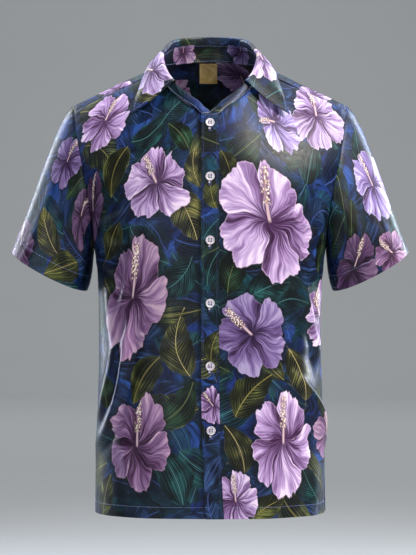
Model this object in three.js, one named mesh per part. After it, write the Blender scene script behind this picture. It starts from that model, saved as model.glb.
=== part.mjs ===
// A short-sleeved hawaiian shirt, buttoned up and filled out as if it were worn, with nothing inside.
// Millimetres. The wearer faces -Y, +X is the wearer's left and +Z is up.
// The origin is where the wearer holds the shirt up: between the shoulders, at the height of the neck's sides.
import * as THREE from "three";

const CLOTH = 1.5; // one ply with its seam allowances pressed flat
const COLLAR_CLOTH = 2.0; // two plies and an interlining
const SEAM_GAP = 0.4;
const HEM_Z = -725;
const BODY_HEM = 18;
const SLEEVE_HEM = 25;
const OVAL = 2.4; // exponent of the body's oval sections
const SHOULDER_ROUND = 1.6; // how squarely the shoulder turns over its ridge
const FRONT_SLOPE_DROP = 200; // below the ridge by this much the front is at its full depth
const BACK_SLOPE_DROP = 80;
const PLACKET_HALF = 14;
const PLACKET_DRIFT = { from: -480, by: 8 }; // the front edge hangs a little to the wearer's left at the hem
const NECK_HALF = 80;
const SHOULDER_SEAM_X = 78; // where the shoulder seam meets the neckline, just in front of the ridge
const UNDERARM_Z = -300;
const SHOULDER_TIP_X = 221;
const ARM_STEPS = 16; // samples down each half of an armhole
const SEAM_STEP = 2; // sample of the front half where the shoulder seam ends
const YOKE_STEP = 4; // sample of the back half where the yoke seam ends

// Half width and depths of the body, hem first. Above the underarm the oval runs on past the armhole.
const BODY = [
  { z: -725, side: 186.5, front: 136, back: 133 },
  { z: -640, side: 186, front: 136, back: 132 },
  { z: -560, side: 184, front: 134, back: 128 },
  { z: -470, side: 180.5, front: 132, back: 123 },
  { z: -390, side: 181, front: 134, back: 123 },
  { z: -345, side: 182.5, front: 135, back: 125 },
  { z: -318, side: 185, front: 136, back: 127 },
  { z: -300, side: 187.5, front: 136, back: 128 },
  { z: -268, side: 196, front: 136, back: 130 },
  { z: -235, side: 208, front: 135, back: 131 },
  { z: -170, side: 232, front: 130, back: 131 },
  { z: -110, side: 247, front: 118, back: 126 },
  { z: -65, side: 255, front: 108, back: 118 },
  { z: 0, side: 262, front: 99, back: 106 },
  { z: 46, side: 265, front: 94, back: 98 },
];

// Height of the shoulder's ridge, from the middle outwards.
const RIDGE = [
  { x: 0, z: 47 },
  { x: 10, z: 46.5 },
  { x: 28, z: 41 },
  { x: 50, z: 28 },
  { x: 80, z: 2 },
  { x: 110, z: -14 },
  { x: 168, z: -40.5 },
  { x: 222, z: -66.5 },
  { x: 260, z: -84 },
];

// The armhole's distance from the middle.
const ARMHOLE = [
  { z: -300, x: 187.5 },
  { z: -268, x: 188.5 },
  { z: -235, x: 192 },
  { z: -170, x: 204.5 },
  { z: -95, x: 218 },
  { z: -60, x: 221 },
];

const FRONT_NECK = [
  { x: 0, z: -92 },
  { x: 12, z: -88 },
  { x: 25, z: -76 },
  { x: 45, z: -62 },
  { x: 62, z: -47 },
  { x: 74, z: -24 },
  { x: 78, z: -8 },
  { x: 80, z: 2 },
];
const BACK_NECK = [
  { x: 0, z: 13 },
  { x: 20, z: 12.3 },
  { x: 40, z: 10 },
  { x: 60, z: 5.5 },
  { x: 70, z: 2.6 },
  { x: 75, z: 1.4 },
  { x: 78, z: 1 },
  { x: 79.3, z: 1.4 },
  { x: 80, z: 2 },
];

// Soft folds of the body. Bearings are degrees round the body: 0 in front, 90 at the wearer's left side.
const BODY_FOLDS = [
  { top: -410, bottom: -650, bearing: -44, turnsTo: -80, width: 10, height: 9 },
  { top: -300, bottom: -500, bearing: -64, turnsTo: -54, width: 9, height: 5 },
  { top: -305, bottom: -480, bearing: 42, turnsTo: 58, width: 9, height: 7 },
  { top: -440, bottom: -670, bearing: 43, turnsTo: 77, width: 10, height: 9 },
  { top: -330, bottom: -560, bearing: 76, turnsTo: 66, width: 8, height: 4 },
  { top: -560, bottom: -790, bearing: 20, turnsTo: 26, width: 11, height: 4 },
  { top: -540, bottom: -790, bearing: -20, turnsTo: -28, width: 11, height: 4 },
  { top: -240, bottom: -790, bearing: 132, turnsTo: 114, width: 13, height: 9 },
  { top: -330, bottom: -790, bearing: 160, turnsTo: 153, width: 13, height: 7 },
  { top: -280, bottom: -780, bearing: 200, turnsTo: 207, width: 14, height: 8 },
  { top: -250, bottom: -790, bearing: 232, turnsTo: 247, width: 13, height: 9 },
];

// Soft folds of a sleeve. "at" is degrees round it, 0 on top, 90 in front; "from" and "to" run from armhole 0 to cuff 1.
const SLEEVE_FOLDS = [
  { from: -0.1, to: 0.8, at: 112, turnsTo: 92, width: 13, height: 4 },
  { from: 0.1, to: 1.2, at: 140, turnsTo: 128, width: 12, height: 4 },
  { from: 0.2, to: 1.3, at: 62, turnsTo: 54, width: 14, height: 2.5 },
  { from: -0.1, to: 0.9, at: 236, turnsTo: 262, width: 14, height: 4.5 },
  { from: 0.2, to: 1.3, at: 300, turnsTo: 310, width: 14, height: 2.5 },
];

// The cuff's ring: its middle, the way to its outer corner, its half height and half depth.
const CUFF = {
  middle: new THREE.Vector3(261, -4, -334),
  out: new THREE.Vector3(61, 0, 32).normalize(),
  down: new THREE.Vector3(32, 0, -61).normalize(),
  halfHeight: 69,
  halfDepth: 58,
  frontDrop: 10,
};
const SLEEVE_TOP_PULL = 260; // how far the top line runs straight into the cuff
const SLEEVE_UNDER_PULL = 70;

// The collar, by degrees round the neck: 0 at the front edge, 90 at the side, 180 at the back.
const STAND = [
  { at: -12, height: 4, lean: 30, rise: 0 },
  { at: -4, height: 6.5, lean: 30, rise: 0 },
  { at: 0, height: 9, lean: 29.5, rise: 0 },
  { at: 5, height: 13, lean: 29, rise: 0 },
  { at: 10, height: 14.4, lean: 28.5, rise: 0 },
  { at: 20, height: 14, lean: 28, rise: 0 },
  { at: 45, height: 14, lean: 20, rise: 0 },
  { at: 60, height: 14, lean: 8, rise: 0 },
  { at: 75, height: 14, lean: 8, rise: 0.5 },
  { at: 88, height: 15, lean: 16, rise: 1 },
  { at: 98, height: 19, lean: 20, rise: 3 },
  { at: 110, height: 24, lean: 17, rise: 6 },
  { at: 124, height: 27, lean: 12, rise: 8 },
  { at: 140, height: 28, lean: 7, rise: 8 },
  { at: 180, height: 28, lean: 5, rise: 8 },
];
const LEAF_ROLL = 3.4; // radius of the fold along the collar's top
const LEAF_BELLY = 4; // how far the leaf's front edges curve out
const LEAF_EDGE = [
  { at: 46, x: 127.5, y: -84, z: -88 },
  { at: 60, x: 121.5, y: -71, z: -67 },
  { at: 74, x: 114.5, y: -51, z: -43.5 },
  { at: 85, x: 108, y: -28, z: -22 },
  { at: 98, x: 104, y: 3, z: -8 },
  { at: 112, x: 97, y: 33, z: -10 },
  { at: 128, x: 81.5, y: 57, z: -11 },
  { at: 144, x: 59, y: 77, z: -5 },
  { at: 162, x: 31, y: 92, z: 0.5 },
  { at: 180, x: 0, y: 97, z: 3 },
];

const BUTTON = { radius: 7, thick: 2.6, bevel: 0.6, holeRadius: 0.95, holeSpread: 1.75 };
const BUTTON_HEIGHTS = [-102, -187, -287, -386, -485, -586];
const LABEL = { middle: -2.7, halfWidth: 14.8, thick: 1.0, rows: [0.08, 0.6, 1.2, 1.8, 2.4] }; // rows are steps down the yoke

const mix = THREE.MathUtils.lerp;
const radians = THREE.MathUtils.degToRad;
const power = (value, exponent) => Math.sign(value) * Math.abs(value) ** exponent;

// A smooth curve through one column of a table, which never overshoots its rows.
function column(rows, key, name) {
  const slope = (i) => (rows[i + 1][name] - rows[i][name]) / (rows[i + 1][key] - rows[i][key]);
  const tangents = rows.map((row, i) => {
    if (i === 0) return slope(0);
    if (i === rows.length - 1) return slope(i - 1);
    const before = slope(i - 1);
    const after = slope(i);
    return before * after <= 0 ? 0 : (2 * before * after) / (before + after);
  });
  return (at) => {
    let i = 0;
    while (i < rows.length - 2 && at > rows[i + 1][key]) i += 1;
    const span = rows[i + 1][key] - rows[i][key];
    const t = THREE.MathUtils.clamp((at - rows[i][key]) / span, 0, 1);
    const a = rows[i][name];
    const b = rows[i + 1][name];
    const ease = t * t * (3 - 2 * t);
    return mix(a, b, ease) + span * (t * (1 - t) ** 2 * tangents[i] - t * t * (1 - t) * tangents[i + 1]);
  };
}

const bodySide = column(BODY, "z", "side");
const bodyFront = column(BODY, "z", "front");
const bodyBack = column(BODY, "z", "back");
const ridgeAt = column(RIDGE, "x", "z");
const armholeX = column(ARMHOLE, "z", "x");
const frontNeck = column(FRONT_NECK, "x", "z");
const backNeck = column(BACK_NECK, "x", "z");

const sectionAngle = (x, z) => Math.asin(THREE.MathUtils.clamp(power(x / bodySide(z), OVAL / 2), -1, 1));
const xAt = (angle, z) => bodySide(z) * power(Math.sin(angle), 2 / OVAL);

// A point of the body's surface, where back is true behind the ridge.
function bodyPoint(x, z, back) {
  const oval = Math.max(0, 1 - Math.min(1, Math.abs(x) / bodySide(z)) ** OVAL) ** (1 / OVAL);
  const drop = THREE.MathUtils.clamp(
    (ridgeAt(Math.abs(x)) - z) / (back ? BACK_SLOPE_DROP : FRONT_SLOPE_DROP), 0, 1);
  const crown = (1 - (1 - drop) ** 2) ** (1 / SHOULDER_ROUND);
  const depth = (back ? bodyBack(z) : -bodyFront(z)) * oval * crown;
  return new THREE.Vector3(x, depth, z);
}

// A fold's cross-section: a ridge between two shallow troughs.
const foldShape = (u) => (1 - u * u) * Math.exp(-u * u / 1.4);

function foldHeight(folds, along, across, from, to, start) {
  let height = 0;
  for (const fold of folds) {
    const t = (along - fold[from]) / (fold[to] - fold[from]);
    if (t <= 0 || t >= 1) continue;
    const centre = mix(fold[start], fold.turnsTo, t);
    const away = ((across - centre + 540) % 360) - 180;
    height += fold.height * Math.sin(Math.PI * t) ** 1.5 * foldShape(away / fold.width);
  }
  return height;
}

function bodyFold(x, z, back) {
  const angle = THREE.MathUtils.radToDeg(sectionAngle(x, z));
  const bearing = back ? 180 - angle : angle;
  return foldHeight(BODY_FOLDS, z, bearing, "top", "bottom", "bearing");
}

// Unit normals of a grid of points, rows[row][column]. A closed grid joins its last column to its first.
function gridNormals(rows, closed) {
  const last = rows[0].length - 1;
  return rows.map((row, r) => row.map((point, c) => {
    const right = closed ? row[(c + 1) % row.length] : row[Math.min(c + 1, last)];
    const left = closed ? row[(c + row.length - 1) % row.length] : row[Math.max(c - 1, 0)];
    const up = rows[Math.min(r + 1, rows.length - 1)][c];
    const down = rows[Math.max(r - 1, 0)][c];
    return right.clone().sub(left).cross(up.clone().sub(down)).normalize();
  }));
}

const moved = (rows, normals, distance) => rows.map((row, r) => row.map((point, c) =>
  point.clone().addScaledVector(normals[r][c], distance(r, c))));

// A closed wall round a grid of middle points. Its normals point outwards, and its plies may differ by place.
function wall(rows, closed, thickness = CLOTH, extraInside = () => 0) {
  const normals = gridNormals(rows, closed);
  const outer = moved(rows, normals, () => thickness / 2);
  const inner = moved(rows, normals, (r, c) => -thickness / 2 - extraInside(r, c));
  const across = rows[0].length;
  const points = [...outer.flat(), ...inner.flat()];
  const innerStart = rows.length * across;
  const indices = [];
  const quad = (a, b, c, d) => indices.push(a, b, c, a, c, d);
  const columns = closed ? across : across - 1;
  for (let r = 0; r < rows.length - 1; r += 1) {
    for (let c = 0; c < columns; c += 1) {
      const a = r * across + c;
      const b = r * across + ((c + 1) % across);
      quad(a, b, b + across, a + across);
      quad(innerStart + a, innerStart + a + across, innerStart + b + across, innerStart + b);
    }
  }
  const topRow = (rows.length - 1) * across;
  for (let c = 0; c < columns; c += 1) {
    const next = (c + 1) % across;
    quad(c, innerStart + c, innerStart + next, next);
    quad(topRow + c, topRow + next, innerStart + topRow + next, innerStart + topRow + c);
  }
  if (!closed) {
    for (let r = 0; r < rows.length - 1; r += 1) {
      const left = r * across;
      const right = left + across - 1;
      quad(left, left + across, innerStart + left + across, innerStart + left);
      quad(right, innerStart + right, innerStart + right + across, right + across);
    }
  }
  const geometry = new THREE.BufferGeometry();
  geometry.setAttribute("position", new THREE.Float32BufferAttribute(points.flatMap((p) => p.toArray()), 3));
  geometry.setIndex(indices);
  geometry.computeVertexNormals();
  return geometry;
}

// One half of the armhole on the wearer's left, sampled from the shoulder's tip down to the underarm.
const ARMHOLE_TOP_Z = ridgeAt(SHOULDER_TIP_X);
const armholeZ = (step) => mix(ARMHOLE_TOP_Z, UNDERARM_Z, (1 - Math.cos(Math.PI * step / ARM_STEPS)) / 2);

// Heights of the rows along the side: the hem, the hem's turned edge, the side seam, then up the armhole.
function sideRows(lastStep) {
  const bottom = [HEM_Z, HEM_Z + BODY_HEM - 1, HEM_Z + BODY_HEM + 1];
  const seamRows = 13;
  for (let i = 1; i < seamRows; i += 1) bottom.push(mix(HEM_Z + BODY_HEM, UNDERARM_Z, i / seamRows));
  for (let step = ARM_STEPS; step >= lastStep; step -= 1) bottom.push(armholeZ(step));
  return bottom;
}

const isHemRow = (r) => r < 2;

function placketX(z) {
  const t = THREE.MathUtils.clamp((z - PLACKET_DRIFT.from) / (HEM_Z - PLACKET_DRIFT.from), 0, 1);
  return PLACKET_DRIFT.by * t * t;
}

// The top edge of a front, from the placket's edge along the neckline and then the shoulder seam.
function frontTopEdge() {
  const neck = [-PLACKET_HALF, 0, PLACKET_HALF, 26, 38, 50, 60, 68, 74, SHOULDER_SEAM_X];
  const edge = neck.map((x) => ({ x, z: frontNeck(Math.abs(x)) }));
  const seamColumns = 7;
  const end = { x: armholeX(armholeZ(SEAM_STEP)), z: armholeZ(SEAM_STEP) };
  const startDrop = ridgeAt(SHOULDER_SEAM_X) - frontNeck(SHOULDER_SEAM_X);
  const endDrop = ridgeAt(end.x) - end.z;
  for (let i = 1; i <= seamColumns; i += 1) {
    const x = mix(SHOULDER_SEAM_X, end.x, i / seamColumns);
    edge.push({ x, z: ridgeAt(x) - mix(startDrop, endDrop, i / seamColumns) });
  }
  return edge;
}

// The middle surface of a front, hem first and placket first. hand is 1 for the wearer's left.
function frontGrid(hand) {
  const top = frontTopEdge();
  const sides = sideRows(SEAM_STEP);
  const sideTop = sides[sides.length - 1];
  const fixed = 3; // the columns under the placket
  const last = top.length - 1;
  const rows = sides.map((sideZ) => {
    const climb = (sideZ - HEM_Z) / (sideTop - HEM_Z);
    const edgeAngle = sideZ <= UNDERARM_Z ? Math.PI / 2 : sectionAngle(armholeX(sideZ), sideZ);
    return top.map((end, c) => {
      const z = mix(HEM_Z, end.z, climb);
      if (c < fixed) return bodyPoint(placketX(z) + hand * end.x, z, false);
      const startAngle = sectionAngle(PLACKET_HALF, z);
      const topShare = (sectionAngle(end.x, end.z) - sectionAngle(PLACKET_HALF, end.z))
        / (sectionAngle(top[last].x, top[last].z) - sectionAngle(PLACKET_HALF, end.z));
      const share = mix((c - fixed + 1) / (last - fixed + 1), topShare, climb ** 3);
      const x = xAt(mix(startAngle, edgeAngle, share), z);
      const followsPlacket = placketX(z) * (1 - share);
      return bodyPoint(hand * x + followsPlacket, z, false);
    });
  });
  return hand > 0 ? rows : rows.map((row) => row.reverse());
}

// Folds are laid on a grid along its own normals.
function folded(rows, back) {
  const normals = gridNormals(rows, false);
  return moved(rows, normals, (r, c) => bodyFold(rows[r][c].x, rows[r][c].z, back));
}

// Draws the named edges of a grid in by half a seam gap, so that panels meet without touching.
function trimmed(rows, edges) {
  const out = rows.map((row) => row.map((p) => p.clone()));
  const pull = (point, towards) => point.add(towards.clone().sub(point).setLength(SEAM_GAP / 2));
  const lastRow = rows.length - 1;
  const last = rows[0].length - 1;
  if (edges.includes("top")) rows[lastRow - 1].forEach((p, c) => pull(out[lastRow][c], p));
  if (edges.includes("bottom")) rows[1].forEach((p, c) => pull(out[0][c], p));
  rows.forEach((row, r) => {
    if (edges.includes("first")) pull(out[r][0], row[1]);
    if (edges.includes("last")) pull(out[r][last], row[last - 1]);
  });
  return out;
}

function frontPanel(hand) {
  const side = hand > 0 ? "last" : "first";
  const rows = trimmed(folded(frontGrid(hand), false), [side, "top"]);
  if (hand > 0) return rows;
  const normals = gridNormals(rows, false);
  const lap = 1.5 * CLOTH + SEAM_GAP;
  const across = rows[0].length - 1;
  const fadeFrom = 4;
  const fadeOver = 5;
  return moved(rows, normals, (r, c) => {
    const t = THREE.MathUtils.clamp((across - c - fadeFrom) / fadeOver, 0, 1);
    return -lap * (1 - t * t * (3 - 2 * t));
  });
}

// The placket lies on the wearer's left front and is made from its first columns.
function placket(leftFront) {
  const strip = leftFront.map((row) => row.slice(0, 3));
  const normals = gridNormals(leftFront, false);
  return moved(strip, normals, () => CLOTH + SEAM_GAP);
}

function backGrid() {
  const halfColumns = 14;
  return sideRows(YOKE_STEP).map((z) => {
    const edgeAngle = z <= UNDERARM_Z ? Math.PI / 2 : sectionAngle(armholeX(z), z);
    const row = [];
    for (let c = halfColumns; c >= -halfColumns; c -= 1) {
      row.push(bodyPoint(xAt(edgeAngle * c / halfColumns, z), z, true));
    }
    return row;
  });
}

// The yoke's coordinates: x, and how far down either slope of the ridge, with behind positive.
const slopeOf = (x, z, back) => (back ? 1 : -1) * Math.max(0, ridgeAt(Math.abs(x)) - z) ** (1 / SHOULDER_ROUND);
const onSlope = (x, slope) => bodyPoint(x, ridgeAt(Math.abs(x)) - Math.abs(slope) ** SHOULDER_ROUND, slope > 0);

// The U-shaped yoke: rows go from the neckline outwards, columns from the wearer's left front round the back.
function yokeGrid() {
  const innerTurn = 66;
  const backHalfColumns = 10;
  const outwardRows = 6;
  const seamZ = armholeZ(YOKE_STEP);
  const half = [];
  for (let i = -SEAM_STEP; i <= YOKE_STEP; i += 1) {
    const z = armholeZ(Math.abs(i));
    const outer = { x: armholeX(z), slope: slopeOf(armholeX(z), z, i > 0) };
    const inner = { x: SHOULDER_SEAM_X, slope: slopeOf(SHOULDER_SEAM_X, frontNeck(SHOULDER_SEAM_X), false) };
    if (i > -SEAM_STEP) {
      const t = (i + SEAM_STEP - 1) / (YOKE_STEP + SEAM_STEP - 1);
      inner.x = mix(NECK_HALF, innerTurn, t * t);
      inner.slope = slopeOf(inner.x, backNeck(inner.x), true);
    }
    half.push({ inner, outer });
  }
  const turn = half[half.length - 1];
  for (let i = 1; i <= backHalfColumns; i += 1) {
    const t = 1 - i / backHalfColumns;
    const inner = { x: turn.inner.x * t, slope: slopeOf(turn.inner.x * t, backNeck(turn.inner.x * t), true) };
    const outer = { x: turn.outer.x * t, slope: slopeOf(turn.outer.x * t, seamZ, true) };
    half.push({ inner, outer });
  }
  const flip = (end) => ({ x: -end.x, slope: end.slope });
  const mirrored = half.slice(0, -1).reverse().map(({ inner, outer }) => ({ inner: flip(inner), outer: flip(outer) }));
  const ends = [...half, ...mirrored];
  const rows = [];
  for (let r = outwardRows; r >= 0; r -= 1) {
    const t = r / outwardRows;
    rows.push(ends.map(({ inner, outer }) =>
      onSlope(mix(inner.x, outer.x, t), mix(inner.slope, outer.slope, t))));
  }
  return rows;
}

// A sleeve runs from the armhole's loop to the cuff's ring along one smooth curve for each step round.
function sleeveRows() {
  const around = 2 * ARM_STEPS;
  const hemShare = 1 - SLEEVE_HEM / SLEEVE_TOP_PULL;
  const lengthwise = [0, 0.06, 0.14, 0.24, 0.36, 0.5, 0.64, 0.78, hemShare - 0.006, hemShare + 0.006, 1];
  const rings = lengthwise.map((t) => {
    const ring = [];
    for (let i = 0; i < around; i += 1) {
      const turn = 2 * Math.PI * i / around;
      const back = i > ARM_STEPS;
      const z = armholeZ(back ? around - i : i);
      const start = bodyPoint(armholeX(z), z, back);
      const acrossness = Math.sin(turn) ** 2;
      const topness = Math.cos(turn / 2) ** 2;
      const droop = radians(mix(mix(78, 25, topness), 60, acrossness));
      const leave = new THREE.Vector3(Math.cos(droop), 0, -Math.sin(droop));
      const leaveLength = mix(mix(25, 90, topness), 120, acrossness);
      const begin = start.clone().addScaledVector(leave, SEAM_GAP + CLOTH * (1 - topness) * 0.5)
        .add(new THREE.Vector3(CLOTH * (1 - topness), 0, 0));
      const ringDrop = CUFF.frontDrop * Math.sin(turn);
      const end = CUFF.middle.clone()
        .addScaledVector(CUFF.out, CUFF.halfHeight * Math.cos(turn))
        .addScaledVector(CUFF.down, ringDrop)
        .add(new THREE.Vector3(0, -CUFF.halfDepth * Math.sin(turn), 0));
      const arriveLength = mix(SLEEVE_UNDER_PULL, SLEEVE_TOP_PULL, topness);
      const arrive = new THREE.Vector3(100, 0, -230).normalize();
      const point = begin.multiplyScalar((1 + 2 * t) * (1 - t) ** 2)
        .addScaledVector(leave, leaveLength * t * (1 - t) ** 2)
        .addScaledVector(end, t * t * (3 - 2 * t))
        .addScaledVector(arrive, -arriveLength * t * t * (1 - t));
      ring.push(point);
    }
    return ring;
  });
  const normals = gridNormals(rings, true);
  return moved(rings, normals, (r, c) => foldHeight(
    SLEEVE_FOLDS, lengthwise[r], 360 * c / around, "from", "to", "at"));
}

// Rows of the finished sleeve run from the cuff up, and its columns so that their normals point out.
function sleeve(hand) {
  const rings = sleeveRows().reverse();
  return rings.map((ring) => (hand > 0 ? ring.reverse() : ring.map((p) => new THREE.Vector3(-p.x, p.y, p.z))));
}

const isCuffRow = (r) => r < 2;

// The neckline at some degrees round the neck, from 0 in front to 360 in front again.
function neckPoint(degrees) {
  const x = NECK_HALF * Math.sin(radians(degrees));
  const turned = ((degrees % 360) + 360) % 360;
  const back = turned > 90 && turned < 270;
  return bodyPoint(x, back ? backNeck(Math.abs(x)) : frontNeck(Math.abs(x)), back);
}

const standHeight = column(STAND, "at", "height");
const standLean = column(STAND, "at", "lean");
const leafRise = column(STAND, "at", "rise");
const edgeX = column(LEAF_EDGE, "at", "x");
const edgeY = column(LEAF_EDGE, "at", "y");
const edgeZ = column(LEAF_EDGE, "at", "z");
const folding = (degrees) => (degrees > 180 ? 360 - degrees : degrees);

// The collar's own directions at a place round the neck: outwards, and up the leaning stand.
// The foot is how far the stand starts above the neckline, more where the cloth beneath lies flat.
function neckFrame(degrees) {
  const step = 2;
  const tangent = neckPoint(degrees + step).sub(neckPoint(degrees - step));
  const outward = new THREE.Vector3(tangent.y, -tangent.x, 0).normalize();
  const lean = radians(standLean(folding(degrees)));
  const up = new THREE.Vector3(0, 0, Math.cos(lean)).addScaledVector(outward, -Math.sin(lean));
  const sideways = Math.sin(radians(degrees)) ** 2;
  const flatness = Math.cos(radians(degrees)) < 0 ? mix(0.6, 1, sideways) : sideways;
  const foot = SEAM_GAP + mix(0.3, 0.75, flatness) * CLOTH;
  return { outward, up, foot };
}

const OVERLAP_DEGREES = 9; // how far each end of the stand passes the middle of the front
const NECK_STEPS = 60;
const LEAF_SKIPS = 9; // steps of the stand that the leaf leaves bare at each end
const neckDegrees = (step) => mix(-OVERLAP_DEGREES, 360 + OVERLAP_DEGREES, step / NECK_STEPS);

// The stand's end on the wearer's right passes under the other one.
function standOffset(degrees) {
  const t = THREE.MathUtils.clamp((360 - degrees) / 24, 0, 1);
  return -(COLLAR_CLOTH + SEAM_GAP) * (1 - t * t * (3 - 2 * t));
}

function standTop(degrees) {
  const { outward, up, foot } = neckFrame(degrees);
  return neckPoint(degrees).addScaledVector(up, foot + standHeight(folding(degrees)))
    .addScaledVector(outward, standOffset(degrees));
}

function standRows() {
  const rows = [];
  for (const share of [0, 0.35, 0.7, 1]) {
    const row = [];
    for (let step = 0; step <= NECK_STEPS; step += 1) {
      const degrees = neckDegrees(step);
      const { outward, up, foot } = neckFrame(degrees);
      const belly = 1.2 * Math.sin(Math.PI * share);
      row.push(neckPoint(degrees)
        .addScaledVector(up, foot + share * standHeight(folding(degrees)))
        .addScaledVector(outward, standOffset(degrees) + belly));
    }
    rows.push(row);
  }
  return rows;
}

// The leaf leaves the stand's top edge, rolls over and falls to its outer edge.
function leafRows() {
  const rollSteps = 4;
  const fallSteps = 5;
  const sections = [];
  for (let step = LEAF_SKIPS; step <= NECK_STEPS - LEAF_SKIPS; step += 1) {
    const degrees = neckDegrees(step);
    const side = folding(degrees);
    const { outward, up } = neckFrame(degrees);
    const root = standTop(degrees).addScaledVector(up, 2 * SEAM_GAP);
    const fold = root.clone().addScaledVector(up, leafRise(side));
    const hub = fold.clone().addScaledVector(outward, LEAF_ROLL);
    const section = [root];
    for (let i = 0; i <= rollSteps; i += 1) {
      const turn = Math.PI * (i / rollSteps) * 0.86;
      section.push(hub.clone().addScaledVector(outward, -LEAF_ROLL * Math.cos(turn))
        .addScaledVector(up, LEAF_ROLL * Math.sin(turn) + 0.6));
    }
    const shoulder = section[section.length - 1].clone();
    const edge = new THREE.Vector3(degrees > 180 ? -edgeX(side) : edgeX(side), edgeY(side), edgeZ(side));
    const belly = new THREE.Vector3(-0.65 * Math.sign(edge.x), 0, -0.75)
      .multiplyScalar(LEAF_BELLY * Math.max(0, 1 - (side - neckDegrees(LEAF_SKIPS)) / 25));
    for (let i = 1; i <= fallSteps; i += 1) {
      const t = i / fallSteps;
      const bulge = Math.sin(Math.PI * t);
      section.push(shoulder.clone().lerp(edge, t).addScaledVector(outward, 2 * bulge).addScaledVector(belly, bulge));
    }
    sections.push(section);
  }
  return sections[0].map((point, r) => sections.map((section) => section[r])).reverse();
}

// A ring of points for an outline or a hole.
function ringPath(path, x, y, radius, points) {
  for (let i = 0; i < points; i += 1) {
    const turn = 2 * Math.PI * i / points;
    const at = [x + radius * Math.cos(turn), y + radius * Math.sin(turn)];
    if (i === 0) path.moveTo(...at);
    else path.lineTo(...at);
  }
  path.closePath();
  return path;
}

// Buttons stand on the placket, square to it, with four holes each.
function buttonGeometry() {
  const outline = ringPath(new THREE.Shape(), 0, 0, BUTTON.radius - BUTTON.bevel, 24);
  for (const [across, up] of [[1, 1], [-1, 1], [-1, -1], [1, -1]]) {
    outline.holes.push(ringPath(new THREE.Path(), across * BUTTON.holeSpread, up * BUTTON.holeSpread,
      BUTTON.holeRadius, 8));
  }
  return new THREE.ExtrudeGeometry(outline, {
    depth: BUTTON.thick - 2 * BUTTON.bevel,
    bevelThickness: BUTTON.bevel,
    bevelSize: BUTTON.bevel,
    bevelSegments: 1,
    curveSegments: 1,
  });
}

function placeButton(mesh, z) {
  const x = placketX(z);
  const at = bodyPoint(x, z, false);
  const above = bodyPoint(x, z + 8, false);
  const below = bodyPoint(x, z - 8, false);
  const outward = new THREE.Vector3(1, 0, 0).cross(above.sub(below)).normalize();
  const stand = 1.5 * CLOTH + 2 * SEAM_GAP + bodyFold(x, z, false) + BUTTON.bevel;
  mesh.position.copy(at).addScaledVector(outward, stand);
  mesh.quaternion.setFromUnitVectors(new THREE.Vector3(0, 0, 1), outward);
}

// The label hangs from the neck seam, on the inside of the yoke, and is made from the yoke's own points.
function labelRows() {
  const neckRow = yoke.length - 1;
  const rows = [];
  for (const down of LABEL.rows) {
    const upper = yoke[Math.ceil(neckRow - down)];
    const lower = yoke[Math.floor(neckRow - down)];
    const share = Math.ceil(neckRow - down) - (neckRow - down);
    const line = upper.map((p, c) => p.clone().lerp(lower[c], share));
    rows.push([1, 0.5, 0, -0.5, -1].map((across) => {
      const x = LABEL.middle + LABEL.halfWidth * across;
      const c = line.findIndex((p, i) => line[i + 1].x <= x);
      return line[c].clone().lerp(line[c + 1], (line[c].x - x) / (line[c].x - line[c + 1].x));
    }));
  }
  rows.reverse();
  const normals = gridNormals(rows, false);
  return moved(rows, normals, () => -(CLOTH / 2 + SEAM_GAP + LABEL.thick / 2));
}

const printedCloth = new THREE.MeshStandardMaterial({ color: 0x1d2f5c, roughness: 0.6, metalness: 0 });
const buttonPearl = new THREE.MeshStandardMaterial({ color: 0xe6dde6, roughness: 0.25, metalness: 0 });
const labelSatin = new THREE.MeshStandardMaterial({ color: 0xb89a52, roughness: 0.5, metalness: 0 });

const shirt = new THREE.Group();

function add(name, geometry, material = printedCloth) {
  const mesh = new THREE.Mesh(geometry, material);
  mesh.name = name;
  shirt.add(mesh);
  return mesh;
}

const leftFront = frontPanel(1);
const hemPly = (r) => (isHemRow(r) ? CLOTH / 2 : 0);
add("front_left", wall(leftFront, false, CLOTH, hemPly));
add("front_right", wall(frontPanel(-1), false, CLOTH, hemPly));
add("placket", wall(placket(leftFront), false));
add("back", wall(trimmed(folded(backGrid(), true), ["first", "last", "top"]), false, CLOTH, hemPly));
const yoke = trimmed(yokeGrid(), ["first", "last", "bottom"]);
add("yoke", wall(yoke, false));
const cuffPly = (r) => (isCuffRow(r) ? CLOTH / 2 : 0);
add("sleeve_left", wall(sleeve(1), true, CLOTH, cuffPly));
add("sleeve_right", wall(sleeve(-1), true, CLOTH, cuffPly));
add("collar_stand", wall(standRows(), false, COLLAR_CLOTH));
add("collar_leaf", wall(leafRows(), false, COLLAR_CLOTH));
add("label", wall(labelRows(), false, LABEL.thick), labelSatin);
BUTTON_HEIGHTS.forEach((z, i) => placeButton(add(`button_${i + 1}`, buttonGeometry(), buttonPearl), z));

export default shirt;
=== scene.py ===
"""A short-sleeved hawaiian shirt with a hibiscus print, filled out as if worn, built round its frame."""
import math

import bmesh
import bpy
import numpy as np
from mathutils import Matrix, Vector


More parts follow.
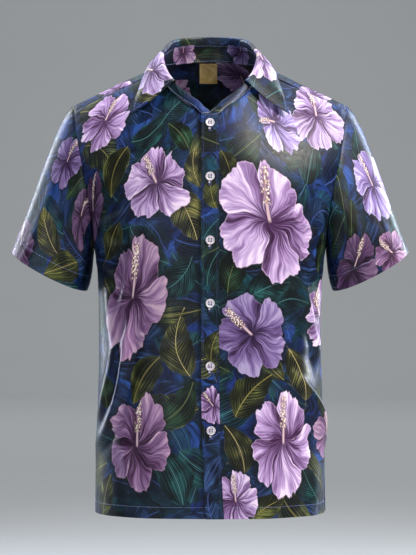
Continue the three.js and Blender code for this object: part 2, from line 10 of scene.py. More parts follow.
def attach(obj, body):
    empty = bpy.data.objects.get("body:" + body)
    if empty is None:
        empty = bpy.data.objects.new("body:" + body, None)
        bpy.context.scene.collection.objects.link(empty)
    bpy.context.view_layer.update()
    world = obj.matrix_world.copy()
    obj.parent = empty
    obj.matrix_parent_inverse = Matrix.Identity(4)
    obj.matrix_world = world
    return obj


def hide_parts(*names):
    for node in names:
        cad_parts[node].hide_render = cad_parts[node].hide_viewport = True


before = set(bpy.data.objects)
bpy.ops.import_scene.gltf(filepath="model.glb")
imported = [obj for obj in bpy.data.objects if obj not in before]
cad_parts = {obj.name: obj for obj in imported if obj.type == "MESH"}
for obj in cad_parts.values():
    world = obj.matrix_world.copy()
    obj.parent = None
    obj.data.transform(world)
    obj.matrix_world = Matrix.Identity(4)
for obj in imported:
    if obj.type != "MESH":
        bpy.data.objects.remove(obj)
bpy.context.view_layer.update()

bl_info = {
    "name": "Hawaiian Shirt",
    "version": (1, 0, 0),
    "blender": (4, 5, 0),
    "location": "3D View > Sidebar > Shirt",
    "description": "Builds a printed, buttoned, short-sleeved shirt piece by piece",
    "category": "Object",
}

MM = 0.001

# ---- sizes in millimetres, the same as those of the solids ----
CLOTH = 1.5
COLLAR_CLOTH = 2.0
SEAM_GAP = 0.4
HEM_Z = -725
OVAL = 2.4
SHOULDER_ROUND = 1.6
FRONT_SLOPE_DROP = 200
BACK_SLOPE_DROP = 80
PLACKET_HALF = 14
PLACKET_DRIFT_FROM = -480
PLACKET_DRIFT = 8
NECK_HALF = 80
SHOULDER_SEAM_X = 78
UNDERARM_Z = -300
SHOULDER_TIP_X = 221
ARM_STEPS = 16
SEAM_STEP = 2
YOKE_STEP = 4
SEAM_ROWS = 13
LEAF_ROLL = 3.4
LEAF_BELLY = 4
OVERLAP_DEGREES = 9
NECK_STEPS = 60
LEAF_SKIPS = 9
BUTTON_HEIGHTS = (-102, -187, -287, -386, -485, -586)
BODY_HEM = 18
SLEEVE_HEM = 25
PUCKER_REACH = 9
PUCKER_START = 2
LABEL_MIDDLE_X = -2.7
LABEL_HALF = 14.8
LABEL_TOP = 2.5
LABEL_BOTTOM = 43
LABEL_INSET = 1.4
LABEL_THICK = 0.6
THREAD_SPREAD = 1.9

# The camera stands 3.6 m in front of the shirt, and its view is as tall as the photograph's.
FOCAL_PIXELS = 2208.6
PHOTO_PIXELS_HIGH = 555
CAMERA_PLACE = (-0.0033, -3.6, -0.3457)

# The seamless paper, in metres.
PAPER_HALF_WIDTH = 14
PAPER_HALF_DEPTH = 11
PAPER_RISE = 9
PAPER_BEND = 3

# A button's own sizes, in metres as Blender's tools take them.
BUTTON_THICK = 0.0026
BUTTON_RIM = 0.0012
BUTTON_STEP = 0.0005
BUTTON_DISH = 0.0006
BUTTON_ROUNDING = 0.00045
BUTTON_HOLE_RADIUS = 0.00115
BUTTON_HOLE_PLACE = 0.0019


def table(columns, *rows):
    """Rows of numbers under named columns."""
    return {name: np.array([row[i] for row in rows], float) for i, name in enumerate(columns.split())}


BODY = table("z side front back",
             (-725, 186.5, 136, 133), (-640, 186, 136, 132), (-560, 184, 134, 128), (-470, 180.5, 132, 123),
             (-390, 181, 134, 123), (-345, 182.5, 135, 125), (-318, 185, 136, 127), (-300, 187.5, 136, 128),
             (-268, 196, 136, 130), (-235, 208, 135, 131), (-170, 232, 130, 131), (-110, 247, 118, 126),
             (-65, 255, 108, 118), (0, 262, 99, 106), (46, 265, 94, 98))
RIDGE = table("x z",
              (0, 47), (10, 46.5), (28, 41), (50, 28), (80, 2), (110, -14), (168, -40.5), (222, -66.5), (260, -84))
ARMHOLE = table("z x", (-300, 187.5), (-268, 188.5), (-235, 192), (-170, 204.5), (-95, 218), (-60, 221))
FRONT_NECK = table("x z",
                   (0, -92), (12, -88), (25, -76), (45, -62), (62, -47), (74, -24), (78, -8), (80, 2))
BACK_NECK = table("x z",
                  (0, 13), (20, 12.3), (40, 10), (60, 5.5), (70, 2.6), (75, 1.4), (78, 1), (79.3, 1.4), (80, 2))
BODY_FOLDS = table("top bottom bearing turns_to width height",
                   (-410, -650, -44, -80, 10, 9), (-300, -500, -64, -54, 9, 5), (-305, -480, 42, 58, 9, 7),
                   (-440, -670, 43, 77, 10, 9), (-330, -560, 76, 66, 8, 4), (-560, -790, 20, 26, 11, 4),
                   (-540, -790, -20, -28, 11, 4), (-240, -790, 132, 114, 13, 9), (-330, -790, 160, 153, 13, 7),
                   (-280, -780, 200, 207, 14, 8), (-250, -790, 232, 247, 13, 9))
SLEEVE_FOLDS = table("top bottom bearing turns_to width height",
                     (-0.1, 0.8, 112, 92, 13, 4), (0.1, 1.2, 140, 128, 12, 4), (0.2, 1.3, 62, 54, 14, 2.5),
                     (-0.1, 0.9, 236, 262, 14, 4.5), (0.2, 1.3, 300, 310, 14, 2.5))
STAND = table("at height lean rise",
              (-12, 4, 30, 0), (-4, 6.5, 30, 0), (0, 9, 29.5, 0), (5, 13, 29, 0), (10, 14.4, 28.5, 0),
              (20, 14, 28, 0), (45, 14, 20, 0), (60, 14, 8, 0), (75, 14, 8, 0.5),
              (88, 15, 16, 1), (98, 19, 20, 3), (110, 24, 17, 6), (124, 27, 12, 8), (140, 28, 7, 8),
              (180, 28, 5, 8))
LEAF_EDGE = table("at x y z",
                  (46, 127.5, -84, -88), (60, 121.5, -71, -67), (74, 114.5, -51, -43.5), (85, 108, -28, -22),
                  (98, 104, 3, -8), (112, 97, 33, -10), (128, 81.5, 57, -11), (144, 59, 77, -5),
                  (162, 31, 92, 0.5), (180, 0, 97, 3))
CUFF_MIDDLE = np.array([261.0, -4, -334])
CUFF_OUT = np.array([61.0, 0, 32]) / math.hypot(61, 32)
CUFF_DOWN = np.array([32.0, 0, -61]) / math.hypot(61, 32)
CUFF_HALF_HEIGHT = 69
CUFF_HALF_DEPTH = 58
CUFF_FRONT_DROP = 10

# Small creases that only the thin cloth shows. A crease runs straight from one end to the other on the piece.
FRONT_CREASES = table("x0 z0 x1 z1 width height",
                      (-188, -262, -122, -232, 7, 2.6), (-186, -290, -112, -286, 8, 2.4),
                      (-184, -316, -128, -352, 9, 3.0), (188, -268, 118, -246, 7, 2.4),
                      (186, -300, 120, -312, 8, 2.8), (182, -326, 134, -380, 9, 3.2),
                      (-96, -50, -158, -112, 12, 1.8), (98, -52, 164, -104, 12, 1.8),
                      (-16, -236, -88, -214, 8, 1.0), (18, -336, 92, -352, 9, 1.1),
                      (-16, -436, -96, -462, 10, 1.4), (20, -536, 96, -560, 10, 1.4),
                      (-58, -740, -66, -600, 14, 2.0), (74, -740, 66, -590, 14, 2.2),
                      (-150, -700, -90, -560, 12, 1.8), (150, -720, 112, -560, 12, 1.8),
                      (-165, -480, -92, -420, 11, 2.2), (168, -470, 100, -400, 11, 2.0),
                      (-128, -392, -178, -622, 8, 11.0), (118, -318, 172, -486, 8, 9.0),
                      (128, -492, 190, -628, 9, 11.5), (-126, -250, -150, -420, 9, 5.0),
                      (140, -250, 128, -330, 9, 5.0), (-158, -560, -120, -735, 12, 3.0),
                      (172, -640, 150, -745, 12, 3.5))
BACK_CREASES = table("x0 z0 x1 z1 width height",
                     (188, -250, 112, -286, 10, 3.0), (-188, -256, -116, -300, 10, 3.2),
                     (186, -300, 120, -372, 11, 3.0), (-186, -296, -126, -360, 11, 2.6),
                     (36, -110, 44, -300, 15, 2.0), (-46, -110, -40, -330, 16, 2.2),
                     (-150, -430, 120, -452, 14, 2.4), (-100, -482, 160, -474, 13, 2.2),
                     (-60, -540, 90, -520, 14, 1.6), (20, -740, 10, -560, 16, 2.4))

# ---- the print, laid out one by one: x and z say where on the piece, side is -1 in front and 1 behind ----
LILAC, BLUE_LILAC, PALE, DIM, ROSE, MAUVE = range(6)
FOREST, OLIVE, TEAL, NAVY, GOLDEN = range(5)
BLOOMS = {  # on each piece and side: x, z, half width, half height, turn, tint
    ("front_right", -1): (
        (-168, -92, 47, 58, -14, LILAC), (-84, -196, 56, 64, 34, LILAC), (-186, -240, 30, 62, -8, DIM),
        (-122, -376, 58, 100, -8, ROSE), (-116, -612, 58, 80, -4, ROSE),),
    ("front_left", -1): (
        (100, -99, 56, 48, 104, BLUE_LILAC), (171, -84, 56, 70, -14, PALE), (94, -256, 84, 100, 0, LILAC),
        (67, -436, 62, 64, 42, MAUVE), (176, -404, 64, 58, 10, LILAC), (116, -608, 58, 84, -3, LILAC),
        (42, -698, 34, 48, 4, LILAC), (186, -598, 34, 42, 20, ROSE),),
    ("placket", -1): (
        (4, -548, 26, 34, 30, LILAC),),
    ("sleeve_right", -1): (
        (-229, -158, 42, 46, 10, MAUVE), (-206, -246, 32, 56, 4, DIM), (-304, -292, 34, 44, 30, DIM),),
    ("sleeve_right", 1): (
        (-250, -170, 50, 54, -30, LILAC), (-238, -290, 44, 48, 20, ROSE),),
    ("sleeve_left", -1): (
        (262, -198, 52, 66, 12, BLUE_LILAC), (232, -328, 48, 50, -30, DIM), (292, -306, 38, 38, 30, ROSE),),
    ("sleeve_left", 1): (
        (246, -150, 48, 50, 26, LILAC), (262, -268, 50, 58, -18, ROSE),),
    ("yoke", 1): (
        (52, -10, 50, 46, 160, LILAC), (150, -62, 50, 48, 20, BLUE_LILAC), (-74, -50, 46, 46, -24, LILAC),
        (-178, -72, 40, 42, 40, ROSE),),
    ("yoke", -1): (
        (168, -52, 46, 40, -14, PALE), (-150, -44, 44, 40, -14, LILAC),),
    ("back", 1): (
        (-108, -176, 66, 72, 12, LILAC), (84, -190, 80, 94, -8, LILAC), (6, -300, 54, 52, 36, BLUE_LILAC),
        (-134, -340, 58, 84, -10, ROSE), (128, -372, 58, 66, 18, BLUE_LILAC), (-30, -452, 78, 94, 4, LILAC),
        (92, -540, 56, 68, -14, ROSE), (-142, -552, 54, 56, 30, LILAC),
        (-20, -640, 52, 56, -20, BLUE_LILAC), (152, -660, 50, 60, 8, LILAC), (-120, -690, 46, 50, -4, ROSE),),
    ("collar_leaf", -1): (
        (-92, -12, 58, 52, 150, PALE), (86, 6, 60, 50, -60, PALE),),
    ("collar_leaf", 1): (
        (40, 26, 30, 28, 10, LILAC), (-62, 14, 28, 28, -30, ROSE),),
    ("collar_stand", 1): (
        (-44, 26, 26, 26, 0, LILAC), (52, 30, 26, 26, 0, BLUE_LILAC),),
}
LEAVES = {  # on each piece and side: x, z, half length, turn, tint
    ("front_right", -1): (
        (-92, -116, 44, -62, TEAL), (-46, -120, 34, 40, FOREST), (-152, -176, 42, 168, OLIVE),
        (-26, -172, 32, 8, GOLDEN), (-32, -246, 46, -150, GOLDEN), (-158, -288, 38, 150, OLIVE),
        (-50, -352, 44, 130, TEAL), (-54, -456, 48, 10, GOLDEN), (-106, -506, 44, 150, OLIVE),
        (-48, -552, 44, -40, FOREST), (-58, -656, 50, 24, TEAL), (-166, -690, 36, -20, OLIVE),
        (-170, -520, 34, 20, FOREST),),
    ("front_left", -1): (
        (28, -172, 30, -160, OLIVE), (160, -160, 40, -24, TEAL), (36, -330, 42, -20, FOREST),
        (92, -362, 44, -70, TEAL), (146, -498, 44, -160, GOLDEN), (64, -526, 46, -44, OLIVE),
        (44, -612, 40, 20, GOLDEN), (158, -676, 38, 30, TEAL), (90, -704, 34, -60, OLIVE),
        (178, -300, 38, 160, FOREST),),
    ("placket", -1): (
        (2, -212, 26, 10, OLIVE), (0, -330, 30, 160, TEAL), (4, -450, 28, -16, OLIVE),
        (4, -650, 34, 150, NAVY), (0, -716, 34, 12, NAVY),),
    ("sleeve_right", -1): (
        (-262, -276, 42, 46, GOLDEN), (-236, -330, 40, 120, OLIVE), (-212, -196, 36, 160, FOREST),),
    ("sleeve_right", 1): (
        (-226, -236, 40, 30, OLIVE),),
    ("sleeve_left", -1): (
        (226, -262, 40, 170, FOREST), (240, -140, 36, -20, TEAL), (300, -262, 34, -30, TEAL),),
    ("sleeve_left", 1): (
        (222, -216, 38, -40, OLIVE),),
    ("yoke", 1): (
        (92, -30, 36, -60, OLIVE), (-10, -74, 40, 60, TEAL), (-122, -56, 38, 30, GOLDEN),),
    ("back", 1): (
        (-22, -186, 46, 30, OLIVE), (-168, -240, 40, 160, TEAL), (164, -240, 42, -20, GOLDEN),
        (74, -300, 42, 130, FOREST), (-70, -352, 40, -40, GOLDEN), (60, -424, 44, -30, TEAL),
        (-104, -440, 42, 150, OLIVE), (160, -470, 40, 24, OLIVE), (28, -560, 44, -150, GOLDEN),
        (-84, -590, 46, 20, TEAL), (60, -664, 44, 60, OLIVE), (-62, -700, 38, -30, FOREST),),
    ("collar_leaf", -1): (
        (-108, -50, 40, -40, GOLDEN), (104, -50, 42, 34, TEAL),),
    ("collar_leaf", 1): (
        (-8, 30, 26, 80, OLIVE),),
    ("collar_stand", 1): (
        (0, 28, 24, 90, FOREST),),
}
SCATTER = (  # layer, spacing, half length, tints to choose from
    ("leaf_a", 76, 44, (NAVY, TEAL, NAVY, NAVY)),
    ("leaf_b", 98, 46, (FOREST, OLIVE, NAVY, TEAL, NAVY)),
)


# ---- the visible stitching ----
OUT, OUT_COLLAR = 0.5, 0.85  # how far a stitch's middle lies off the middle of the cloth
TOPSTITCHING = (  # piece, distance from the edge, edge, lift, length left unsewn at the ends, part of the line
    ("front_right", BODY_HEM, "bottom", OUT),
    ("front_left", BODY_HEM, "bottom", OUT, 1.0, slice(11, None)),
    ("back", BODY_HEM, "bottom", OUT),
    ("sleeve_left", SLEEVE_HEM, "bottom", OUT),
    ("sleeve_right", SLEEVE_HEM, "bottom", OUT),
    ("yoke", 2.6, "bottom", OUT),
    ("yoke", 2.6, "first", OUT),
    ("yoke", 2.6, "last", OUT),
    ("collar_stand", 2.2, "bottom", OUT_COLLAR),
    ("collar_stand", 2.2, "bottom", -OUT_COLLAR),
    ("collar_stand", 2.0, "top", -OUT_COLLAR, 14),
    ("collar_leaf", 5, "bottom", OUT_COLLAR, 5),
    ("collar_leaf", 5, "first", OUT_COLLAR, 5, slice(None, -6)),
    ("collar_leaf", 5, "last", OUT_COLLAR, 5, slice(None, -6)),
)
PLACKET_STITCHING = (
    ("placket", 3.6, "first", OUT_COLLAR),
    ("placket", 3.6, "last", OUT_COLLAR),
    ("placket", BODY_HEM, "bottom", OUT_COLLAR),
)


# ---- the shirt's surface ----
def mix(a, b, t):
    return a + (b - a) * t


def power(value, exponent):
    return np.sign(value) * np.abs(value) ** exponent


def curve(rows, key, name):
    """A smooth curve through one column of a table, which never overshoots its rows."""
    x, y = rows[key], rows[name]
    slopes = np.diff(y) / np.diff(x)
    product = slopes[:-1] * slopes[1:]
    total = slopes[:-1] + slopes[1:]
    inner = np.where(product <= 0, 0, 2 * product / np.where(total == 0, 1, total))
    tangents = np.concatenate([slopes[:1], inner, slopes[-1:]])

    def at(value):
        value = np.asarray(value, float)
        i = np.clip(np.searchsorted(x, value, side="right") - 1, 0, len(x) - 2)
        span = x[i + 1] - x[i]
        t = np.clip((value - x[i]) / span, 0, 1)
        ease = t * t * (3 - 2 * t)
        lean = t * (1 - t) ** 2 * tangents[i] - t * t * (1 - t) * tangents[i + 1]
        return mix(y[i], y[i + 1], ease) + span * lean

    return at


body_side = curve(BODY, "z", "side")
body_front = curve(BODY, "z", "front")
body_back = curve(BODY, "z", "back")
ridge_at = curve(RIDGE, "x", "z")
armhole_x = curve(ARMHOLE, "z", "x")
front_neck = curve(FRONT_NECK, "x", "z")
back_neck = curve(BACK_NECK, "x", "z")
stand_height = curve(STAND, "at", "height")
stand_lean = curve(STAND, "at", "lean")
leaf_rise = curve(STAND, "at", "rise")
edge_x = curve(LEAF_EDGE, "at", "x")
edge_y = curve(LEAF_EDGE, "at", "y")
edge_z = curve(LEAF_EDGE, "at", "z")


def section_angle(x, z):
    return np.arcsin(np.clip(power(x / body_side(z), OVAL / 2), -1, 1))


def x_at(angle, z):
    return body_side(z) * power(np.sin(angle), 2 / OVAL)


def body_point(x, z, back):
    """Points of the body's surface, where back is true behind the ridge."""
    x, z, back = np.broadcast_arrays(np.asarray(x, float), np.asarray(z, float), back)
    oval = np.maximum(0, 1 - np.minimum(1, np.abs(x) / body_side(z)) ** OVAL) ** (1 / OVAL)
    slope_drop = np.where(back, BACK_SLOPE_DROP, FRONT_SLOPE_DROP)
    drop = np.clip((ridge_at(np.abs(x)) - z) / slope_drop, 0, 1)
    crown = (1 - (1 - drop) ** 2) ** (1 / SHOULDER_ROUND)
    depth = np.where(back, body_back(z), -body_front(z)) * oval * crown
    return np.stack([x, depth, z], -1)


def fold_shape(u):
    return (1 - u * u) * np.exp(-u * u / 1.4)


def fold_height(folds, along, across):
    height = np.zeros(np.broadcast(along, across).shape)
    for top, bottom, start, end, width, size in zip(*folds.values()):
        t = (along - top) / (bottom - top)
        centre = mix(start, end, t)
        away = (across - centre + 540) % 360 - 180
        taper = np.sin(np.pi * np.clip(t, 0, 1)) ** 1.5
        height = height + size * taper * fold_shape(away / width)
    return height


def body_fold(points, back):
    angle = np.degrees(section_angle(points[..., 0], points[..., 2]))
    return fold_height(BODY_FOLDS, points[..., 2], 180 - angle if back else angle)


def crease_height(creases, points):
    """Soft ridges with a trough on each side, between two ends given by x and z."""
    height = np.zeros(points.shape[:-1])
    for x0, z0, x1, z1, width, size in zip(*creases.values()):
        run = np.array([x1 - x0, z1 - z0])
        length = np.hypot(*run)
        away = np.stack([points[..., 0] - x0, points[..., 2] - z0], -1)
        t = away @ run / length ** 2
        bow = 0.06 * length * np.sin(np.pi * t)
        across = (away[..., 0] * run[1] - away[..., 1] * run[0]) / length + bow
        height += size * np.sin(np.pi * np.clip(t, 0, 1)) ** 0.8 * fold_shape(across / width)
    return height


def grid_normals(points, closed=False):
    """Unit normals of a grid whose columns run to the right and rows upwards, seen from outside."""
    if closed:
        across = np.roll(points, -1, 1) - np.roll(points, 1, 1)
    else:
        across = np.concatenate([points[:, 1:2] - points[:, :1], points[:, 2:] - points[:, :-2],
                                 points[:, -1:] - points[:, -2:-1]], 1)
    up = np.concatenate([points[1:2] - points[:1], points[2:] - points[:-2], points[-1:] - points[-2:-1]], 0)
    normal = np.cross(across, up)
    return normal / np.maximum(np.linalg.norm(normal, axis=-1, keepdims=True), 1e-9)


def raised(points, height, closed=False):
    return points + grid_normals(points, closed) * np.asarray(height)[..., None]


def finer(stops, parts):
    """Evenly splits each step between the stops."""
    stops = np.asarray(stops, float)
    return np.interp(np.arange((len(stops) - 1) * parts + 1) / parts, np.arange(len(stops)), stops)


def armhole_z(step):
    return mix(float(ridge_at(SHOULDER_TIP_X)), UNDERARM_Z, (1 - np.cos(np.pi * np.asarray(step) / ARM_STEPS)) / 2)


def side_rows(last_step):
    """Heights along the side: from the hem up the side seam, then up the armhole."""
    seam = np.linspace(HEM_Z, UNDERARM_Z, SEAM_ROWS * 7 + 1)[:-1]
    steps = np.linspace(ARM_STEPS, last_step, (ARM_STEPS - last_step) * 4 + 1)
    return np.concatenate([seam, armhole_z(steps)[2:]])


def placket_x(z):
    t = np.clip((z - PLACKET_DRIFT_FROM) / (HEM_Z - PLACKET_DRIFT_FROM), 0, 1)
    return PLACKET_DRIFT * t * t


def front_surface(hand, columns):
    """A front without its folds, over fractional columns of the solid's grid."""
    neck = [-PLACKET_HALF, 0, PLACKET_HALF, 26, 38, 50, 60, 68, 74, SHOULDER_SEAM_X]
    end_z = float(armhole_z(SEAM_STEP))
    end_x = float(armhole_x(end_z))
    stops = np.array(neck + [mix(SHOULDER_SEAM_X, end_x, i / 7) for i in range(1, 8)])
    last = len(stops) - 1
    top_x = np.interp(columns, np.arange(last + 1), stops)
    start_drop = ridge_at(SHOULDER_SEAM_X) - front_neck(SHOULDER_SEAM_X)
    seam_share = np.clip((columns - 9) / 7, 0, 1)
    seam_z = ridge_at(top_x) - mix(start_drop, ridge_at(end_x) - end_z, seam_share)
    top_z = np.where(columns <= 9, front_neck(np.abs(top_x)), seam_z)
    side = side_rows(SEAM_STEP)[:, None]
    climb = (side - HEM_Z) / (side[-1] - HEM_Z)
    edge = np.where(side <= UNDERARM_Z, np.pi / 2, section_angle(armhole_x(side), side))
    z = mix(HEM_Z, top_z, climb)
    first = section_angle(PLACKET_HALF, top_z)
    top_share = (section_angle(top_x, top_z) - first) / (section_angle(end_x, end_z) - first)
    share = mix((columns - 2) / (last - 2), top_share, climb ** 3)
    under_placket = columns <= 2
    share = np.where(under_placket, 0, share)
    x = x_at(mix(section_angle(PLACKET_HALF, z), edge, share), z)
    x = np.where(under_placket, top_x, x)
    points = body_point(hand * x + placket_x(z) * (1 - share), z, False)
    return points if hand > 0 else points[:, ::-1]


def edge_distances(points):
    """Distances along the cloth from the first column, the last one, the bottom row and the top one."""
    across = np.linalg.norm(np.diff(points, axis=1), axis=-1)
    up = np.linalg.norm(np.diff(points, axis=0), axis=-1)
    s = np.concatenate([np.zeros((len(points), 1)), np.cumsum(across, 1)], 1)
    t = np.concatenate([np.zeros((1, points.shape[1])), np.cumsum(up, 0)], 0)
    return s, s[:, -1:] - s, t, t[-1:] - t


def puckered(along, away, pitch, sway, drift, height, groove, width):
    """A stitched line's groove, with small puckers beside it that wander in their spacing."""
    ripple = np.sin(along / pitch + sway * np.sin(along / drift)) * np.exp(-away / PUCKER_REACH)
    return height * ripple * (1 - np.exp(-away / PUCKER_START)) - groove * np.exp(-(away / width) ** 2)


def seam_relief(points, first=False, last=False, bottom=False, top=False, hem=0):
    """What the seams along the named edges leave in the cloth, and the line of a turned hem."""
    from_first, from_last, from_bottom, from_top = edge_distances(points)
    relief = np.zeros(points.shape[:-1])
    for wanted, away, along in ((first, from_first, from_bottom), (last, from_last, from_bottom),
                                (bottom, from_bottom, from_first), (top, from_top, from_first)):
        if wanted:
            relief += puckered(along, away, 2.3, 1.7, 19, 0.45, 0.55, 2.2)
    if hem:
        relief += puckered(from_first, np.abs(from_bottom - hem), 3.1, 2.1, 27, 0.5, 0.45, 1.6)
    return relief


def front_points(hand):
    parts = 5
    columns = finer(np.arange(17), parts)
    points = front_surface(hand, columns)
    points = raised(points, body_fold(points, False) + crease_height(FRONT_CREASES, points))
    points = raised(points, seam_relief(points, first=hand < 0, last=hand > 0, top=True, hem=BODY_HEM))
    if hand > 0:
        return points
    c = np.arange(points.shape[1])[::-1] / parts
    t = np.clip((c - 4) / 5, 0, 1)
    return raised(points, np.broadcast_to(-(1.5 * CLOTH + SEAM_GAP) * (1 - t * t * (3 - 2 * t)), points.shape[:2]))


def placket_points():
    columns = np.linspace(0, 2, 15)
    points = front_surface(1, columns)
    return raised(points, body_fold(points, False) + crease_height(FRONT_CREASES, points) + 1.5)


def back_points():
    z = side_rows(YOKE_STEP)[:, None]
    edge = np.where(z <= UNDERARM_Z, np.pi / 2, section_angle(armhole_x(z), z))
    points = body_point(x_at(edge * np.linspace(1, -1, 113), z), z, True)
    points = raised(points, body_fold(points, True) + crease_height(BACK_CREASES, points))
    return raised(points, seam_relief(points, first=True, last=True, top=True, hem=BODY_HEM))


def slope_of(x, z, back):
    return np.where(back, 1, -1) * np.maximum(0, ridge_at(np.abs(x)) - z) ** (1 / SHOULDER_ROUND)


def yoke_points():
    inner_turn = 66
    back_half = 10
    i = np.linspace(-SEAM_STEP, YOKE_STEP, 6 * 6 + 1)
    outer_z = armhole_z(np.abs(i))
    outer_x = armhole_x(outer_z)
    outer_slope = slope_of(outer_x, outer_z, i > 0)
    t = (i + SEAM_STEP - 1) / (YOKE_STEP + SEAM_STEP - 1)
    in_front = t < 0
    front_x = mix(SHOULDER_SEAM_X, NECK_HALF, i + SEAM_STEP)
    back_x = mix(NECK_HALF, inner_turn, np.maximum(t, 0) ** 2)
    inner_x = np.where(in_front, front_x, back_x)
    inner_slope = np.where(in_front, slope_of(front_x, front_neck(np.minimum(front_x, 80)), False),
                           slope_of(back_x, back_neck(back_x), True))
    j = 1 - np.linspace(0, back_half, back_half * 5 + 1)[1:] / back_half
    inner_x = np.concatenate([inner_x, inner_turn * j])
    inner_slope = np.concatenate([inner_slope, slope_of(inner_turn * j, back_neck(inner_turn * j), True)])
    turn_x = outer_x[-1]
    outer_slope = np.concatenate([outer_slope, slope_of(turn_x * j, armhole_z(YOKE_STEP), True)])
    outer_x = np.concatenate([outer_x, turn_x * j])
    both = []
    for ends, sign in ((inner_x, -1), (inner_slope, 1), (outer_x, -1), (outer_slope, 1)):
        both.append(np.concatenate([ends, sign * ends[:-1][::-1]]))
    inner_x, inner_slope, outer_x, outer_slope = both
    t = np.linspace(1, 0, 31)[:, None]
    x = mix(inner_x, outer_x, t)
    slope = mix(inner_slope, outer_slope, t)
    points = body_point(x, ridge_at(np.abs(x)) - np.abs(slope) ** SHOULDER_ROUND, slope > 0)
    soft = 1.2 * fold_shape((points[..., 0] - 120) / 26) + 1.0 * fold_shape((points[..., 0] + 134) / 30)
    points = raised(points, soft * np.clip(edge_distances(points)[2] / 60, 0, 1))
    return raised(points, seam_relief(points, first=True, last=True, bottom=True))


def sleeve_points(hand):
    """A sleeve from the cuff up, split at the underarm. Its last row tucks under the body's edge."""
    i = (ARM_STEPS + np.arange(2 * ARM_STEPS * 4) / 4) % (2 * ARM_STEPS)
    back = i > ARM_STEPS
    turn = 2 * np.pi * i / (2 * ARM_STEPS)
    z = armhole_z(np.where(back, 2 * ARM_STEPS - i, i))
    start = body_point(armhole_x(z), z, back)
    across = np.sin(turn) ** 2
    top = np.cos(turn / 2) ** 2
    droop = np.radians(mix(mix(78, 25, top), 60, across))
    leave = np.stack([np.cos(droop), 0 * droop, -np.sin(droop)], -1)
    leave_length = mix(mix(25, 90, top), 120, across)[:, None]
    begin = start + leave * (SEAM_GAP + CLOTH * (1 - top) * 0.5)[:, None]
    begin[:, 0] += CLOTH * (1 - top)
    end = (CUFF_MIDDLE + CUFF_OUT * (CUFF_HALF_HEIGHT * np.cos(turn))[:, None]
           + CUFF_DOWN * (CUFF_FRONT_DROP * np.sin(turn))[:, None])
    end[:, 1] -= CUFF_HALF_DEPTH * np.sin(turn)
    arrive = np.array([100.0, 0, -230]) / math.hypot(100, 230) * mix(70, 260, top)[:, None]
    t = np.linspace(0, 1, 49)
    s = t[:, None, None]
    points = (begin * (1 + 2 * s) * (1 - s) ** 2 + leave * leave_length * s * (1 - s) ** 2
              + end * s * s * (3 - 2 * s) - arrive * s * s * (1 - s))
    points = points[::-1, ::-1]
    height = fold_height(SLEEVE_FOLDS, t[::-1, None], np.degrees(turn)[None, ::-1])
    points = raised(points, height, True)
    relief = seam_relief(points, top=True, hem=SLEEVE_HEM)
    points = raised(points, relief, True)
    tuck = points[-1] - leave[::-1] * 2.5 - grid_normals(points, True)[-1] * 1.1
    points = np.concatenate([points, tuck[None]])
    if hand < 0:
        points = points[:, ::-1] * np.array([-1, 1, 1])
    return points


def neck_point(degrees):
    x = NECK_HALF * np.sin(np.radians(degrees))
    back = np.cos(np.radians(degrees)) < 0
    return body_point(x, np.where(back, back_neck(np.abs(x)), front_neck(np.abs(x))), back)


def folding(degrees):
    return np.where(degrees > 180, 360 - degrees, degrees)


def neck_frame(degrees):
    """Outwards, and up the leaning stand, at places round the neck."""
    tangent = neck_point(degrees + 2) - neck_point(degrees - 2)
    outward = np.stack([tangent[..., 1], -tangent[..., 0], 0 * tangent[..., 0]], -1)
    outward /= np.linalg.norm(outward, axis=-1, keepdims=True)
    lean = np.radians(stand_lean(folding(degrees)))
    up = -outward * np.sin(lean)[..., None]
    up[..., 2] = np.cos(lean)
    return outward, up


def stand_offset(degrees):
    t = np.clip((360 - degrees) / 24, 0, 1)
    return -(COLLAR_CLOTH + SEAM_GAP) * (1 - t * t * (3 - 2 * t))


def foot_of(degrees):
    sideways = np.sin(np.radians(degrees)) ** 2
    flatness = np.where(np.cos(np.radians(degrees)) < 0, mix(0.6, 1, sideways), sideways)
    return SEAM_GAP + mix(0.3, 0.75, flatness) * CLOTH


def neck_degrees(step):
    return mix(-OVERLAP_DEGREES, 360 + OVERLAP_DEGREES, np.asarray(step) / NECK_STEPS)


def stand_points():
    degrees = neck_degrees(np.linspace(0, NECK_STEPS, 241))
    outward, up = neck_frame(degrees)
    from_end = np.minimum(degrees + OVERLAP_DEGREES, 360 + OVERLAP_DEGREES - degrees)
    rounded = np.sqrt(1 - (1 - np.clip(from_end / 5, 0.05, 1)) ** 2)
    height = stand_height(folding(degrees)) * rounded
    rows = []
    for share in np.linspace(0, 1, 9):
        rise = mix(-0.2, foot_of(degrees) + height, share)
        belly = stand_offset(degrees) + 1.2 * math.sin(math.pi * share)
        rows.append(neck_point(degrees) + up * rise[:, None] + outward * belly[:, None])
    points = np.array(rows)
    return raised(points, 0.25 * fold_shape((edge_distances(points)[3] - 3) / 1.5))


